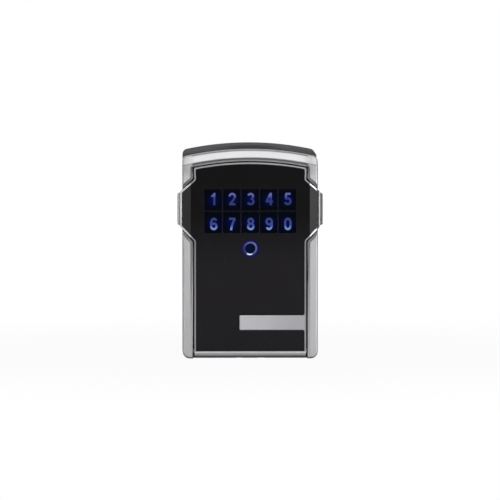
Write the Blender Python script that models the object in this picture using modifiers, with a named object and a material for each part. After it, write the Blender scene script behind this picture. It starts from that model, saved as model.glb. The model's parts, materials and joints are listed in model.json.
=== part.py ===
# Electronic key box for a wall: a deep housing, a silver bezel and a keypad door that drops open.
# Metres, +Z up. The keypad faces -Y, the wall face is at +Y, and the origin is the middle of the base.
import math

import bmesh
import bpy
from mathutils import Matrix, Vector

# Fits and drawing steps
clearance = 0.0003
overrun = 0.002
least_radius = 0.0001
weld_distance = 0.000001
plane_distance = 0.00001
flat_angle = math.radians(0.02)
sharp_angle = math.radians(30)
corner_steps = 4
arch_steps = 16

# Outer sizes
total_width = 0.083
total_depth = 0.058
housing_height = 0.1218
housing_rise = 0.0022
grip_overhang = 0.0028
bezel_depth = 0.0153
arch_radius = 0.172

# Bezel
rail_width = 0.0061
arch_band = 0.0068
door_gap = 0.0005
rim_proud = 0.0004
foot_radius = 0.004
shoulder_radius = 0.0028
bezel_edge = 0.0011
chamfer_width = 0.0014
chamfer_low_width = 0.0003
chamfer_depth = 0.0012
brow_width = 0.0046
brow_depth = 0.0017
ledge_width = 0.002
ledge_top = 0.0031
cross_height = 0.0046
opening_radius = 0.002

# Door
plate_thickness = 0.0045
rim_width = 0.001
wing_drop = 0.0168
wing_height = 0.0199
wing_low_slope = 0.0085
wing_high_slope = 0.0071
door_corner = 0.0009
fold_width = 0.006
fold_drop_share = 0.27
plate_drop = 0.0009
bar_radius = 0.0039
bar_setback = 0.0001
bar_inset = 0.0002
floor_gap = 0.0002
tongue_reach = 0.0061
tongue_z = 0.0163
tongue_height = 0.0084
tongue_corner = 0.0006
panel_corner = 0.0012
grip_proud = 0.0014
grip_gap = 0.0005
grip_depth = 0.012
grip_corner = 0.0008
grip_end = 0.0008
grip_inset = 0.0004

# Door tray
tray_gap = 0.0011
tray_wall = 0.0018
tray_depth = 0.0135
tray_corner = 0.0025
swing_gap = 0.003
bar_gap = 0.0015
boss_radius = 0.0026
boss_wall_share = 0.7
boss_drop = 0.0002
keypad_side_gap = 0.00055
board_boss_gap = 0.0005

# Fascia, keys, button
fascia_recess = 0.0002
fascia_thickness = 0.0014
key_columns = 5
key_rows = 2
key_names = ("key_1", "key_2", "key_3", "key_4", "key_5", "key_6", "key_7", "key_8", "key_9", "key_0")
key_gap = 0.0013
key_height = 0.0116
key_recess = 0.00025
key_corner = 0.0005
key_edge = 0.00025
key_travel = 0.0006
window_corner = 0.0006
dome_height = 0.0009
dome_gap = 0.0002
dome_radius = 0.0026
dome_top_share = 0.65
mat_thickness = 0.001
mat_margin = 0.0005
button_drop = 0.00885
ring_radius = 0.0041
ring_width = 0.00105
ring_recess = 0.0003
ring_flange = 0.0013
ring_flange_thickness = 0.0008
button_recess = 0.0005
button_edge = 0.0003
button_travel = 0.0005

# Circuit board and wake switch
board_thickness = 0.0016
board_gap = 0.001
board_screw_inset = 0.00415
board_screw_rise = 0.005
board_boss_radius = 0.0021
chip_size = 0.007
chip_height = 0.0012
chip_pitch = 0.0065
chip_rise = 0.0065
plug_width = 0.008
plug_height = 0.0045
plug_depth = 0.005
switch_size = 0.004
stem_radius = 0.001
stem_height = 0.0004

# Latch bolt, rack and pinion
module = 0.0008
pinion_teeth = 8
rack_teeth = 6
addendum = 0.0006
dedendum = 0.00075
backlash = 0.00012
pressure_angle = math.radians(20)
tooth_tip_share = 0.42
latch_gap = 0.0006
latch_width = 0.010
latch_thickness = 0.0014
latch_travel = 0.0065
nose_height = 0.0098
nose_depth = 0.0045
nose_bevel = 0.0012
nose_sunk = 0.0003
rack_width = 0.004
pinion_width = 0.0044
shaft_radius = 0.00075
guide_wall = 0.0014
guide_height = 0.0078
slot_gap = 0.0004

# Gear motor
motor_radius = 0.004
motor_end_gap = 0.0029
gearbox_length = 0.0045
gearbox_side = 0.0074
motor_boss_radius = 0.0013
motor_boss_length = 0.001
saddle_length_share = 0.67
saddle_wall = 0.0014

# Strike plate
strike_length = 0.030
strike_depth = 0.0084
strike_thickness = 0.0015
strike_screw_inset = 0.0035
strike_throw_gap = 0.001

# Battery and its bay
battery_radius = 0.0085
battery_side_margin = 0.0019
battery_low_gap = 0.0049
battery_nub_radius = 0.0033
battery_nub_length = 0.0011
holder_floor = 0.001
holder_wall = 0.0012
contact_thickness = 0.0004
contact_side = 0.008
spring_length = 0.003
spring_radius = 0.0036
spring_top_radius = 0.0024
spring_wire = 0.0003
spring_turns = 3
spring_points = 9
collar_wall = 0.0012
lid_thickness = 0.0015
lid_corner = 0.0012
lip_height = 0.0022
lip_wall = 0.0008
lip_length_share = 0.75
tab_length = 0.0058
tab_width = 0.0056
tab_screw_share = 0.6

# Inner cover
cover_thickness = 0.0015
cover_margin = 0.0003
cover_rib_height = 0.0012
cover_rib_width = 0.0014
cover_rib_length = 0.036
cover_rib_pitch = 0.0055
cover_ribs = 4
cover_rib_drop = 0.0442

# Screws: head radius, head height, shank radius
small_head = 0.0019
small_head_height = 0.0011
small_shank = 0.0009
small_length = 0.006
long_head = 0.0027
long_head_height = 0.0024
long_shank = 0.0015
long_bite = 0.0072
column_radius = 0.0039
column_inset = 0.0056
column_top_drop = 0.0115
column_low_z = 0.0068
column_seat_depth = 0.023
socket_share = 0.5
socket_depth_share = 0.55

# Housing
housing_wall = 0.0026
housing_back = 0.003
housing_inset = 0.0004
housing_shoulder = 0.0055
housing_edge = 0.002
cavity_corner = 0.0022
wall_hole_radius = 0.0027
wall_sink_radius = 0.0052
wall_sink_depth = 0.0022
wall_hole_inset = 0.0187
wall_hole_low_z = 0.024
wall_hole_drop = 0.0238

# Hinge pin, gasket, jump-start studs
pin_radius = 0.0011
pin_recess = 0.0004
gasket_thickness = 0.0009
gasket_width = 0.0012
gasket_foot_gap = 0.0005
stud_radius = 0.0016
stud_pitch = 0.0127
stud_recess = 0.0004
stud_length = 0.0014


def arch_z(x, top):
    # Height at x of an arch whose middle is at top; all arches share one centre
    radius = arch_radius - (bezel_height - top)
    return top - radius + math.sqrt(radius * radius - x * x)


# Places that follow from the sizes
front_y = -total_depth / 2
back_y = total_depth / 2
bezel_front_y = front_y + rim_proud
bezel_back_y = bezel_front_y + bezel_depth
housing_front_y = bezel_back_y + clearance
bezel_height = housing_height - housing_rise
body_half = total_width / 2 - grip_overhang
door_half = body_half - rail_width - door_gap
door_top_z = bezel_height - arch_band - door_gap
wing_half = total_width / 2 - grip_proud
fold_x = wing_half - fold_width
wing_z = door_top_z - wing_drop - wing_height
hinge_y = front_y + bar_setback + bar_radius
hinge_z = bar_radius + floor_gap
door_low_z = hinge_z - plate_drop
tongue_x = -tongue_reach
plate_back_y = front_y + plate_thickness
ledge_y = plate_back_y + gasket_thickness + 2 * clearance
opening_half = door_half - ledge_width
opening_top_z = door_top_z - ledge_top
tray_half = opening_half - tray_gap
tray_top_z = opening_top_z - swing_gap
tray_low_z = hinge_z + bar_radius + bar_gap
tray_back_y = plate_back_y + tray_depth
cover_front_y = tray_back_y + clearance
cover_back_y = cover_front_y + cover_thickness
fascia_front_y = front_y + fascia_recess
fascia_back_y = fascia_front_y + fascia_thickness
pocket_y = fascia_back_y + clearance
mat_front_y = plate_back_y + clearance
mat_back_y = mat_front_y + mat_thickness
key_front_y = fascia_front_y + key_recess
key_back_y = mat_front_y - dome_height - dome_gap - key_travel
board_front_y = mat_back_y + clearance
board_back_y = board_front_y + board_thickness
mat_half = tray_half - tray_wall - keypad_side_gap
field_half_width = mat_half - mat_margin
key_pitch_x = (2 * (field_half_width - clearance) + key_gap) / key_columns
key_width = key_pitch_x - key_gap
key_pitch_z = key_height + key_gap
field_half_height = (key_rows * key_pitch_z - key_gap) / 2 + clearance
latch_front_y = board_back_y + latch_gap
latch_back_y = latch_front_y + latch_thickness
nose_back_y = latch_front_y + nose_depth
nose_top_z = tray_top_z - nose_sunk
nose_low_z = nose_top_z - nose_height
pitch_radius = module * pinion_teeth / 2
tooth_pitch = math.pi * module
pinion_y = latch_back_y + dedendum + pitch_radius
guide_top_z = nose_low_z - clearance
pinion_z = guide_top_z - guide_height - clearance - addendum - pitch_radius
motor_face_x = -latch_width / 2 - clearance
motor_length = tray_half - tray_wall - motor_end_gap - motor_boss_length - gearbox_length + motor_face_x
strike_low_z = opening_top_z - clearance
strike_screw_x = strike_length / 2 - strike_screw_inset
boss_x = tray_half - tray_wall - boss_radius * boss_wall_share
boss_low_z = tray_low_z + tray_wall + boss_radius * boss_wall_share
boss_top_z = arch_z(boss_x, tray_top_z) - tray_wall - boss_radius * boss_wall_share
board_top_z = boss_top_z - boss_radius - board_boss_gap
board_screw_x = mat_half - board_screw_inset
keypad_z = board_top_z - mat_margin - field_half_height
button_z = keypad_z - field_half_height - button_drop
column_x = body_half - column_inset
column_top_z = bezel_height - column_top_drop
column_seat_y = back_y - column_seat_depth
battery_y = mat_front_y + holder_floor + clearance + battery_radius
bay_half = tray_half - battery_side_margin - tab_length - collar_wall
battery_length = 2 * bay_half - battery_nub_length - spring_length - contact_thickness - 4 * clearance
bay_half_height = battery_radius + clearance
battery_z = tray_low_z + tray_wall + battery_low_gap + holder_wall + bay_half_height
board_low_z = battery_z + bay_half_height + holder_wall + board_gap
battery_x = (spring_length - contact_thickness - battery_nub_length) / 2
lid_front_y = battery_y + battery_radius + clearance
collar_back_y = lid_front_y - clearance
lid_back_y = lid_front_y + lid_thickness
tab_screw_x = bay_half + collar_wall + tab_length * tab_screw_share

for old in list(bpy.data.objects):
    bpy.data.objects.remove(old)
parts = bpy.data.collections.new("electronic_key_box")
bpy.context.scene.collection.children.link(parts)


# Outlines in the plane of the front: lists of (x, z, corner radius), anticlockwise
def arch(half, top, end_radius):
    points = []
    for step in range(arch_steps + 1):
        x = half * (1 - 2 * step / arch_steps)
        is_end = step in (0, arch_steps)
        points.append((x, arch_z(x, top), end_radius if is_end else 0))
    return points


def arched(half, low, top, low_radius, top_radius):
    return [(half, low, low_radius)] + arch(half, top, top_radius) + [(-half, low, low_radius)]


def rectangle(x, z, half_width, half_height, radius):
    return [
        (x + half_width, z - half_height, radius),
        (x + half_width, z + half_height, radius),
        (x - half_width, z + half_height, radius),
        (x - half_width, z - half_height, radius),
    ]


def door_corners(low):
    root_low = wing_z - wing_low_slope
    wing_top = wing_z + wing_height
    root_high = wing_top + wing_high_slope
    side = [
        (door_half, low, door_corner),
        (door_half, root_low, door_corner),
        (wing_half, wing_z, door_corner),
        (wing_half, wing_top, door_corner),
        (door_half, root_high, door_corner),
    ]
    mirrored = [(-x, z, radius) for x, z, radius in reversed(side)]
    return side + arch(door_half, door_top_z, door_corner) + mirrored


def grown(corners, distance):
    # distance is one length, or a function of a corner's height
    points = []
    for index, (x, z, radius) in enumerate(corners):
        here = Vector((x, z))
        before = Vector(corners[index - 1][:2])
        after = Vector(corners[(index + 1) % len(corners)][:2])
        edge_in = (here - before).normalized()
        edge_out = (after - here).normalized()
        normal_in = Vector((edge_in.y, -edge_in.x))
        normal_out = Vector((edge_out.y, -edge_out.x))
        amount = distance(z) if callable(distance) else distance
        moved = here + (normal_in + normal_out) * amount / (1 + normal_in.dot(normal_out))
        convex = edge_in.x * edge_out.y - edge_in.y * edge_out.x > 0
        if radius:
            radius = max(least_radius, radius + (amount if convex else -amount))
        points.append((moved.x, moved.y, radius))
    return points


def rounded(corners):
    points = []
    for index, (x, z, radius) in enumerate(corners):
        here = Vector((x, z))
        if not radius:
            points.append(here)
            continue
        to_before = Vector(corners[index - 1][:2]) - here
        to_after = Vector(corners[(index + 1) % len(corners)][:2]) - here
        half_angle = to_before.angle(to_after) / 2
        reach = min(radius / math.tan(half_angle), to_before.length / 2, to_after.length / 2)
        radius = reach * math.tan(half_angle)
        middle = (to_before.normalized() + to_after.normalized()).normalized()
        centre = here + middle * radius / math.sin(half_angle)
        start = here + to_before.normalized() * reach - centre
        turn = start.angle_signed(here + to_after.normalized() * reach - centre)
        for step in range(corner_steps + 1):
            points.append(centre + Matrix.Rotation(-turn * step / corner_steps, 2) @ start)
    return points


def circle(x, z, radius, sides=24):
    angles = [2 * math.pi * side / sides for side in range(sides)]
    return [(x + radius * math.cos(angle), z + radius * math.sin(angle), 0) for angle in angles]


# Solids
def add_object(name, mesh):
    obj = bpy.data.objects.new(name, mesh)
    parts.objects.link(obj)
    return obj


def bake(obj):
    bpy.context.view_layer.update()
    graph = bpy.context.evaluated_depsgraph_get()
    mesh = bpy.data.meshes.new_from_object(obj.evaluated_get(graph))
    name = obj.name
    matrix = obj.matrix_world.copy()
    bpy.data.objects.remove(obj)
    mesh.transform(matrix)
    return add_object(name, mesh)


def edit(obj, change):
    work = bmesh.new()
    work.from_mesh(obj.data)
    change(work)
    work.to_mesh(obj.data)
    work.free()


def weld(obj):
    edit(obj, lambda work: bmesh.ops.remove_doubles(work, verts=work.verts, dist=weld_distance))


def plate(name, outlines, near_y, far_y):
    curve = bpy.data.curves.new(name, "CURVE")
    curve.dimensions = "2D"
    curve.fill_mode = "BOTH"
    curve.extrude = (far_y - near_y) / 2
    for outline in outlines:
        points = rounded(outline)
        spline = curve.splines.new("POLY")
        spline.points.add(len(points) - 1)
        for target, point in zip(spline.points, points):
            target.co = (point.x, point.y, 0, 1)
        spline.use_cyclic_u = True
    obj = add_object(name, curve)
    obj.location.y = (near_y + far_y) / 2
    obj.rotation_euler.x = math.pi / 2
    obj = bake(obj)
    weld(obj)
    return obj


def loft(name, near_outline, near_y, far_outline, far_y):
    near = [(point.x, near_y, point.y) for point in rounded(near_outline)]
    far = [(point.x, far_y, point.y) for point in rounded(far_outline)]
    count = len(near)
    sides = [(i, (i + 1) % count, (i + 1) % count + count, i + count) for i in range(count)]
    caps = [tuple(reversed(range(count))), tuple(range(count, 2 * count))]
    mesh = bpy.data.meshes.new(name)
    mesh.from_pydata(near + far, [], sides + caps)
    obj = add_object(name, mesh)
    edit(obj, lambda work: bmesh.ops.recalc_face_normals(work, faces=work.faces))
    return obj


def box(name, low, high):
    low = Vector(low)
    high = Vector(high)
    work = bmesh.new()
    matrix = Matrix.Translation((low + high) / 2) @ Matrix.Diagonal((high - low).to_4d())
    bmesh.ops.create_cube(work, size=1, matrix=matrix)
    mesh = bpy.data.meshes.new(name)
    work.to_mesh(mesh)
    work.free()
    return add_object(name, mesh)


def rod(name, start, end, radius, sides=24, end_radius=None):
    start = Vector(start)
    end = Vector(end)
    line = end - start
    turn = line.to_track_quat("Z", "Y").to_matrix().to_4x4()
    work = bmesh.new()
    bmesh.ops.create_cone(
        work,
        cap_ends=True,
        segments=sides,
        radius1=radius,
        radius2=radius if end_radius is None else end_radius,
        depth=line.length,
        matrix=Matrix.Translation((start + end) / 2) @ turn,
    )
    mesh = bpy.data.meshes.new(name)
    work.to_mesh(mesh)
    work.free()
    return add_object(name, mesh)


def turned(name, profile, base, direction, sides=20):
    # profile: (radius, height) pairs down the outer side, from the top on the axis to the bottom on the axis
    mesh = bpy.data.meshes.new(name)
    edges = [(index, index + 1) for index in range(len(profile) - 1)]
    mesh.from_pydata([(radius, 0, height) for radius, height in profile], edges, [])
    obj = add_object(name, mesh)
    screw = obj.modifiers.new("turn", "SCREW")
    screw.steps = sides
    screw.render_steps = sides
    screw.use_merge_vertices = True
    screw.merge_threshold = weld_distance
    obj.rotation_euler = Vector(direction).to_track_quat("Z", "Y").to_euler()
    obj.location = base
    obj = bake(obj)
    weld(obj)
    return obj


def tidy(work):
    # Welds what a cut leaves closer than the weld distance, and merges faces that lie in one plane
    bmesh.ops.remove_doubles(work, verts=work.verts, dist=weld_distance)
    bmesh.ops.dissolve_degenerate(work, edges=work.edges, dist=weld_distance)
    bmesh.ops.dissolve_limit(work, angle_limit=flat_angle, verts=work.verts, edges=work.edges)
    loose = [edge for edge in work.edges if not edge.link_faces]
    bmesh.ops.delete(work, geom=loose, context="EDGES")


def combine(target, tool, operation, solver):
    step = target.modifiers.new(operation.lower(), "BOOLEAN")
    step.operation = operation
    step.solver = solver
    step.object = tool
    target = bake(target)
    bpy.data.objects.remove(tool)
    edit(target, tidy)
    return target


def cut(target, *tools, solver="EXACT"):
    for tool in tools:
        target = combine(target, tool, "DIFFERENCE", solver)
    return target


def join(target, *tools, solver="EXACT"):
    for tool in tools:
        target = combine(target, tool, "UNION", solver)
    return target


def soften(obj, width, segments, choose):
    def change(work):
        edges = [edge for edge in work.edges if choose(edge) and edge.calc_face_angle(0) > sharp_angle]
        bmesh.ops.bevel(work, geom=edges, offset=width, segments=segments, profile=0.5, affect="EDGES")

    edit(obj, change)


def on_plane_y(y):
    return lambda edge: all(abs(vert.co.y - y) < plane_distance for vert in edge.verts)


def fold_wings(obj):
    # The wings' front slopes back beyond the fold line, and the plate's back stays flat
    def change(work):
        for side in (-1, 1):
            geometry = list(work.verts) + list(work.edges) + list(work.faces)
            bmesh.ops.bisect_plane(work, geom=geometry, plane_co=(side * fold_x, 0, 0), plane_no=(side, 0, 0))
        for vert in work.verts:
            past = abs(vert.co.x) - fold_x
            if past > 0:
                depth_share = (plate_back_y - vert.co.y) / (plate_back_y - front_y)
                vert.co.y += past * fold_drop_share * depth_share

    edit(obj, change)


materials = {}


def finish(obj, colour, roughness, metallic, origin=None):
    key = (colour, roughness, metallic)
    if key not in materials:
        material = bpy.data.materials.new(obj.name + "_finish")
        material.use_nodes = True
        shader = material.node_tree.nodes["Principled BSDF"]
        shader.inputs["Base Color"].default_value = (*colour, 1)
        shader.inputs["Roughness"].default_value = roughness
        shader.inputs["Metallic"].default_value = metallic
        materials[key] = material
    obj.data.materials.clear()
    obj.data.materials.append(materials[key])
    obj.data.shade_smooth()
    obj.data.set_sharp_from_angle(angle=sharp_angle)
    if origin is not None:
        obj.data.transform(Matrix.Translation(-Vector(origin)))
        obj.location = origin
    return obj


silver = ((0.46, 0.45, 0.47), 0.32, 0.9)
charcoal = ((0.045, 0.045, 0.05), 0.5, 0.3)
gloss_black = ((0.008, 0.007, 0.009), 0.18, 0.0)
key_black = ((0.004, 0.004, 0.01), 0.35, 0.0)
dark_plastic = ((0.03, 0.03, 0.032), 0.55, 0.0)
rubber_black = ((0.02, 0.02, 0.02), 0.8, 0.0)
steel = ((0.55, 0.55, 0.56), 0.3, 1.0)
brass = ((0.72, 0.55, 0.28), 0.3, 1.0)
board_green = ((0.02, 0.11, 0.05), 0.45, 0.0)
cell_white = ((0.62, 0.63, 0.66), 0.35, 0.0)
ring_blue = ((0.25, 0.35, 0.9), 0.3, 0.0)
mat_grey = ((0.16, 0.16, 0.18), 0.75, 0.0)


# Case
def rear_housing():
    half = body_half - housing_inset
    obj = plate(
        "rear_housing",
        [arched(half, 0, housing_height, foot_radius, housing_shoulder)],
        housing_front_y,
        back_y,
    )
    soften(obj, housing_edge, 3, on_plane_y(back_y))
    cavity_half = half - housing_wall
    cavity = plate(
        "cavity",
        [arched(cavity_half, housing_wall, housing_height - housing_wall, cavity_corner, housing_shoulder)],
        housing_front_y - overrun,
        back_y - housing_back,
    )
    obj = cut(obj, cavity)
    for x, z in column_places():
        column = rod("column", (x, housing_front_y, z), (x, back_y - housing_back / 2, z), column_radius)
        obj = join(obj, column)
    for x, z in column_places():
        bore = rod("bore", (x, housing_front_y - overrun, z), (x, column_seat_y + overrun, z),
                   long_shank + clearance, 16)
        seat = rod("seat", (x, column_seat_y, z), (x, back_y + overrun, z), long_head + clearance, 20)
        obj = cut(obj, bore, seat)
    for x, z in wall_hole_places():
        inner_y = back_y - housing_back
        profile = [
            (0, 0),
            (wall_sink_radius, 0),
            (wall_sink_radius, -clearance),
            (wall_hole_radius, -clearance - wall_sink_depth),
            (wall_hole_radius, -housing_back - overrun),
            (0, -housing_back - overrun),
        ]
        sink = turned("sink", profile, (x, inner_y - clearance, z), (0, -1, 0))
        obj = cut(obj, sink)
    return finish(obj, *charcoal)


def column_places():
    return [(side * column_x, z) for side in (-1, 1) for z in (column_low_z, column_top_z)]


def wall_hole_places():
    x = body_half - wall_hole_inset
    return [(side * x, z) for side in (-1, 1) for z in (wall_hole_low_z, housing_height - wall_hole_drop)]


def chamfer_at(z):
    # Full width above the lower rails, dying away towards the feet
    root_low = wing_z - wing_low_slope
    share = min(1, max(0, z / root_low))
    return chamfer_low_width + (chamfer_width - chamfer_low_width) * share


def front_bezel():
    obj = plate(
        "front_bezel",
        [arched(body_half, 0, bezel_height, foot_radius, shoulder_radius)],
        bezel_front_y,
        bezel_back_y,
    )
    soften(obj, bezel_edge, 3, on_plane_y(bezel_front_y))
    obj = cut(obj, brow())
    reach = chamfer_depth + overrun
    mouth = grown(door_corners(-overrun), lambda z: door_gap + chamfer_at(z) * reach / chamfer_depth)
    throat = grown(door_corners(-overrun), door_gap)
    flare = loft("flare", mouth, bezel_front_y - overrun, throat, bezel_front_y + chamfer_depth)
    pocket = plate("pocket", [throat], bezel_front_y - overrun, ledge_y)
    opening = plate(
        "opening",
        [arched(opening_half, cross_height, opening_top_z, opening_radius, opening_radius)],
        ledge_y - overrun,
        bezel_back_y + overrun,
    )
    room_half = door_half + door_gap
    bar_room = rod("bar_room", (-room_half, hinge_y, hinge_z), (room_half, hinge_y, hinge_z),
                   bar_radius + door_gap, 32)
    under = box("under", (-room_half, bezel_front_y, -overrun),
                (room_half, hinge_y + bar_radius + door_gap, hinge_z))
    heel = box("heel", (-opening_half, ledge_y - overrun, hinge_z - overrun),
               (opening_half, hinge_y + bar_radius + door_gap, tray_low_z))
    obj = cut(obj, flare, pocket, opening, bar_room, under, heel)
    pin_half = body_half + overrun
    pin_hole = rod("pin_hole", (-pin_half, hinge_y, hinge_z), (pin_half, hinge_y, hinge_z),
                   pin_radius + clearance, 20)
    obj = cut(obj, pin_hole)
    for x, z in column_places():
        bore = rod("bore", (x, bezel_back_y - long_bite - clearance, z), (x, bezel_back_y + overrun, z),
                   long_shank + clearance, 16)
        obj = cut(obj, bore)
    return finish(strike_seat(obj), *silver)


def brow():
    # Slopes the arch's band back towards the top: a wedge turned about the arch's centre
    centre_z = bezel_height - arch_radius
    inner = arch_radius - brow_width
    outer = arch_radius + overrun
    rise = brow_depth * (outer - inner) / brow_width
    profile = [(inner, bezel_front_y), (outer, bezel_front_y - overrun), (outer, bezel_front_y + rise)]
    work = bmesh.new()
    verts = [work.verts.new((0, y, centre_z + radius)) for radius, y in profile]
    face = work.faces.new(verts)
    half_angle = math.asin((body_half + overrun) / arch_radius)
    to_side = Matrix.Rotation(-half_angle, 3, "Y")
    bmesh.ops.rotate(work, verts=work.verts, cent=(0, 0, centre_z), matrix=to_side)
    bmesh.ops.spin(work, geom=[face] + list(face.edges) + verts, cent=(0, 0, centre_z), axis=(0, 1, 0),
                   angle=2 * half_angle, steps=2 * arch_steps, use_duplicate=False)
    bmesh.ops.recalc_face_normals(work, faces=work.faces)
    mesh = bpy.data.meshes.new("brow")
    work.to_mesh(mesh)
    work.free()
    return add_object("brow", mesh)


def strike_span():
    middle_y = (latch_front_y + nose_back_y) / 2
    return middle_y - strike_depth / 2, middle_y + strike_depth / 2


def strike_seat(obj):
    near, far = strike_span()
    half = strike_length / 2
    seat = box("seat", (-half - clearance, near - clearance, opening_top_z - overrun),
               (half + clearance, far + overrun, strike_low_z + strike_thickness + clearance))
    throw_z = nose_top_z + latch_travel + strike_throw_gap
    room = box("room", (-latch_width / 2 - slot_gap, latch_front_y - slot_gap, strike_low_z),
               (latch_width / 2 + slot_gap, nose_back_y + slot_gap, throw_z))
    obj = cut(obj, seat, room)
    for side in (-1, 1):
        x = side * strike_screw_x
        y = (near + far) / 2
        hole = rod("hole", (x, y, strike_low_z), (x, y, strike_low_z + small_length + 2 * clearance),
                   small_shank + clearance, 14)
        obj = cut(obj, hole)
    return obj


def strike_plate():
    near, far = strike_span()
    half = strike_length / 2
    top_z = strike_low_z + strike_thickness
    obj = box("strike_plate", (-half, near, strike_low_z), (half, far, top_z))
    slot = box("slot", (-latch_width / 2 - slot_gap, latch_front_y - slot_gap, strike_low_z - overrun),
               (latch_width / 2 + slot_gap, nose_back_y + slot_gap, top_z + overrun))
    obj = cut(obj, slot)
    for side in (-1, 1):
        x = side * strike_screw_x
        y = (near + far) / 2
        hole = rod("hole", (x, y, strike_low_z - overrun), (x, y, top_z + overrun),
                   small_shank + clearance, 14)
        obj = cut(obj, hole)
    return finish(obj, *steel)


def screw(name, place, direction, head, head_height, shank, length, sides=14):
    # The head's underside is at place, and the shank runs along direction
    profile = [(0, length), (shank, length), (shank, 0), (head, 0), (head, -head_height), (0, -head_height)]
    return turned(name, profile, place, direction, sides)


def small_screw(name, place, direction, length):
    return screw(name, place, direction, small_head, small_head_height, small_shank, length)


def strike_screws():
    near, far = strike_span()
    for number, side in enumerate((-1, 1), 1):
        place = (side * strike_screw_x, (near + far) / 2, strike_low_z - clearance)
        finish(small_screw(f"strike_screw_{number}", place, (0, 0, 1), small_length), *steel)


def assembly_screws():
    length = column_seat_y - clearance - bezel_back_y + long_bite
    for number, (x, z) in enumerate(column_places(), 1):
        one = screw(f"assembly_screw_{number}", (x, column_seat_y + clearance, z), (0, -1, 0), long_head,
                    long_head_height, long_shank, length, 18)
        head_y = column_seat_y + clearance + long_head_height
        drive = rod("drive", (x, head_y - long_head_height * socket_depth_share, z), (x, head_y + overrun, z),
                    long_head * socket_share, 6)
        finish(cut(one, drive), *steel)


def hinge_pin():
    half = body_half - pin_recess
    pin = rod("hinge_pin", (-half, hinge_y, hinge_z), (half, hinge_y, hinge_z), pin_radius, 20)
    return finish(pin, *steel)


def door_gasket():
    # One strip round the ledge, open at the bottom where the hinge bar is
    inner = opening_half + clearance
    outer = inner + gasket_width
    top = opening_top_z + clearance
    low = tray_low_z + gasket_foot_gap
    corners = [(outer, low, 0)]
    corners += arch(outer, top + gasket_width, door_corner)
    corners += [(-outer, low, 0), (-inner, low, 0)]
    corners += [(x, z, 0) for x, z, radius in reversed(arch(inner, top, 0))]
    corners += [(inner, low, 0)]
    obj = plate("door_gasket", [corners], plate_back_y + clearance, ledge_y - clearance)
    return finish(obj, *rubber_black)


# Door
def panel_outline(gap):
    # The black panel's outline, with the notch for the tongue; gap shrinks it inside its pocket
    corners = grown(door_corners(door_low_z), -rim_width - gap)
    edge = corners[0][0]
    low = tongue_z - gap
    high = tongue_z + tongue_height + gap
    notch = [
        (edge, low, panel_corner),
        (tongue_x - gap, low, tongue_corner),
        (tongue_x - gap, high, tongue_corner),
        (edge, high, panel_corner),
    ]
    return corners[:1] + notch + corners[1:]


def key_places():
    places = []
    for row in range(key_rows):
        for column in range(key_columns):
            x = (column - (key_columns - 1) / 2) * key_pitch_x
            z = keypad_z - (row - (key_rows - 1) / 2) * key_pitch_z
            places.append((x, z))
    return places


def tray_outline(inset):
    return arched(tray_half - inset, tray_low_z + inset, tray_top_z - inset, tray_corner, tray_corner)


def boss_places():
    return [(side * boss_x, z) for side in (-1, 1) for z in (boss_low_z, boss_top_z)]


def board_screw_places():
    return [(side * board_screw_x, board_low_z + board_screw_rise) for side in (-1, 1)]


def door_frame():
    # The exact solver leaves open edges on this long thin plate, so the manifold one cuts and joins it
    def cut_door(obj, *tools):
        return cut(obj, *tools, solver="MANIFOLD")

    def join_door(obj, *tools):
        return join(obj, *tools, solver="MANIFOLD")

    obj = plate("door_frame", [door_corners(door_low_z)], front_y, plate_back_y)
    bar_half = door_half - bar_inset
    bar = rod("bar", (-bar_half, hinge_y, hinge_z), (bar_half, hinge_y, hinge_z), bar_radius, 40)
    pocket = plate("pocket", [panel_outline(0)], front_y - overrun, pocket_y)
    keypad_hole = rectangle(0, keypad_z, field_half_width, field_half_height, window_corner)
    window = plate("window", [keypad_hole], pocket_y - overrun, plate_back_y + overrun)
    ring_hole = plate("ring_hole", [circle(0, button_z, ring_radius + clearance)], pocket_y - overrun,
                      plate_back_y + overrun)
    obj = cut_door(join_door(obj, bar), pocket, window, ring_hole)
    fold_wings(obj)
    root_y = (pocket_y + plate_back_y) / 2
    obj = join_door(obj, plate("walls", [tray_outline(0), tray_outline(tray_wall)], root_y, tray_back_y))
    for x, z in boss_places():
        obj = join_door(obj, rod("boss", (x, root_y, z), (x, tray_back_y - boss_drop, z), boss_radius, 20))
    for x, z in board_screw_places():
        obj = join_door(obj, rod("boss", (x, root_y, z), (x, board_front_y - clearance, z),
                                 board_boss_radius, 16))
    obj = join_door(obj, grip(-1), grip(1))
    for x, z in boss_places():
        obj = cut_door(obj, rod("bore", (x, tray_back_y - small_length, z), (x, tray_back_y + overrun, z),
                                small_shank + clearance, 14))
    for x, z in board_screw_places():
        obj = cut_door(obj, rod("bore", (x, root_y, z), (x, board_front_y, z), small_shank + clearance, 14))
    slot = box("slot", (-latch_width / 2 - slot_gap, latch_front_y - slot_gap, nose_low_z),
               (latch_width / 2 + slot_gap, nose_back_y + slot_gap, tray_top_z + overrun))
    pin_half = door_half + overrun
    pin_hole = rod("pin_hole", (-pin_half, hinge_y, hinge_z), (pin_half, hinge_y, hinge_z),
                   pin_radius + clearance, 20)
    obj = cut_door(obj, slot, pin_hole)
    for side in (-1, 1):
        x = side * stud_pitch / 2
        obj = cut_door(obj, rod("stud_hole", (x, hinge_y, -overrun),
                                (x, hinge_y, floor_gap + stud_recess + stud_length + clearance),
                                stud_radius + clearance, 18))
    return finish(obj, *silver, origin=(0, hinge_y, hinge_z))


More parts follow.
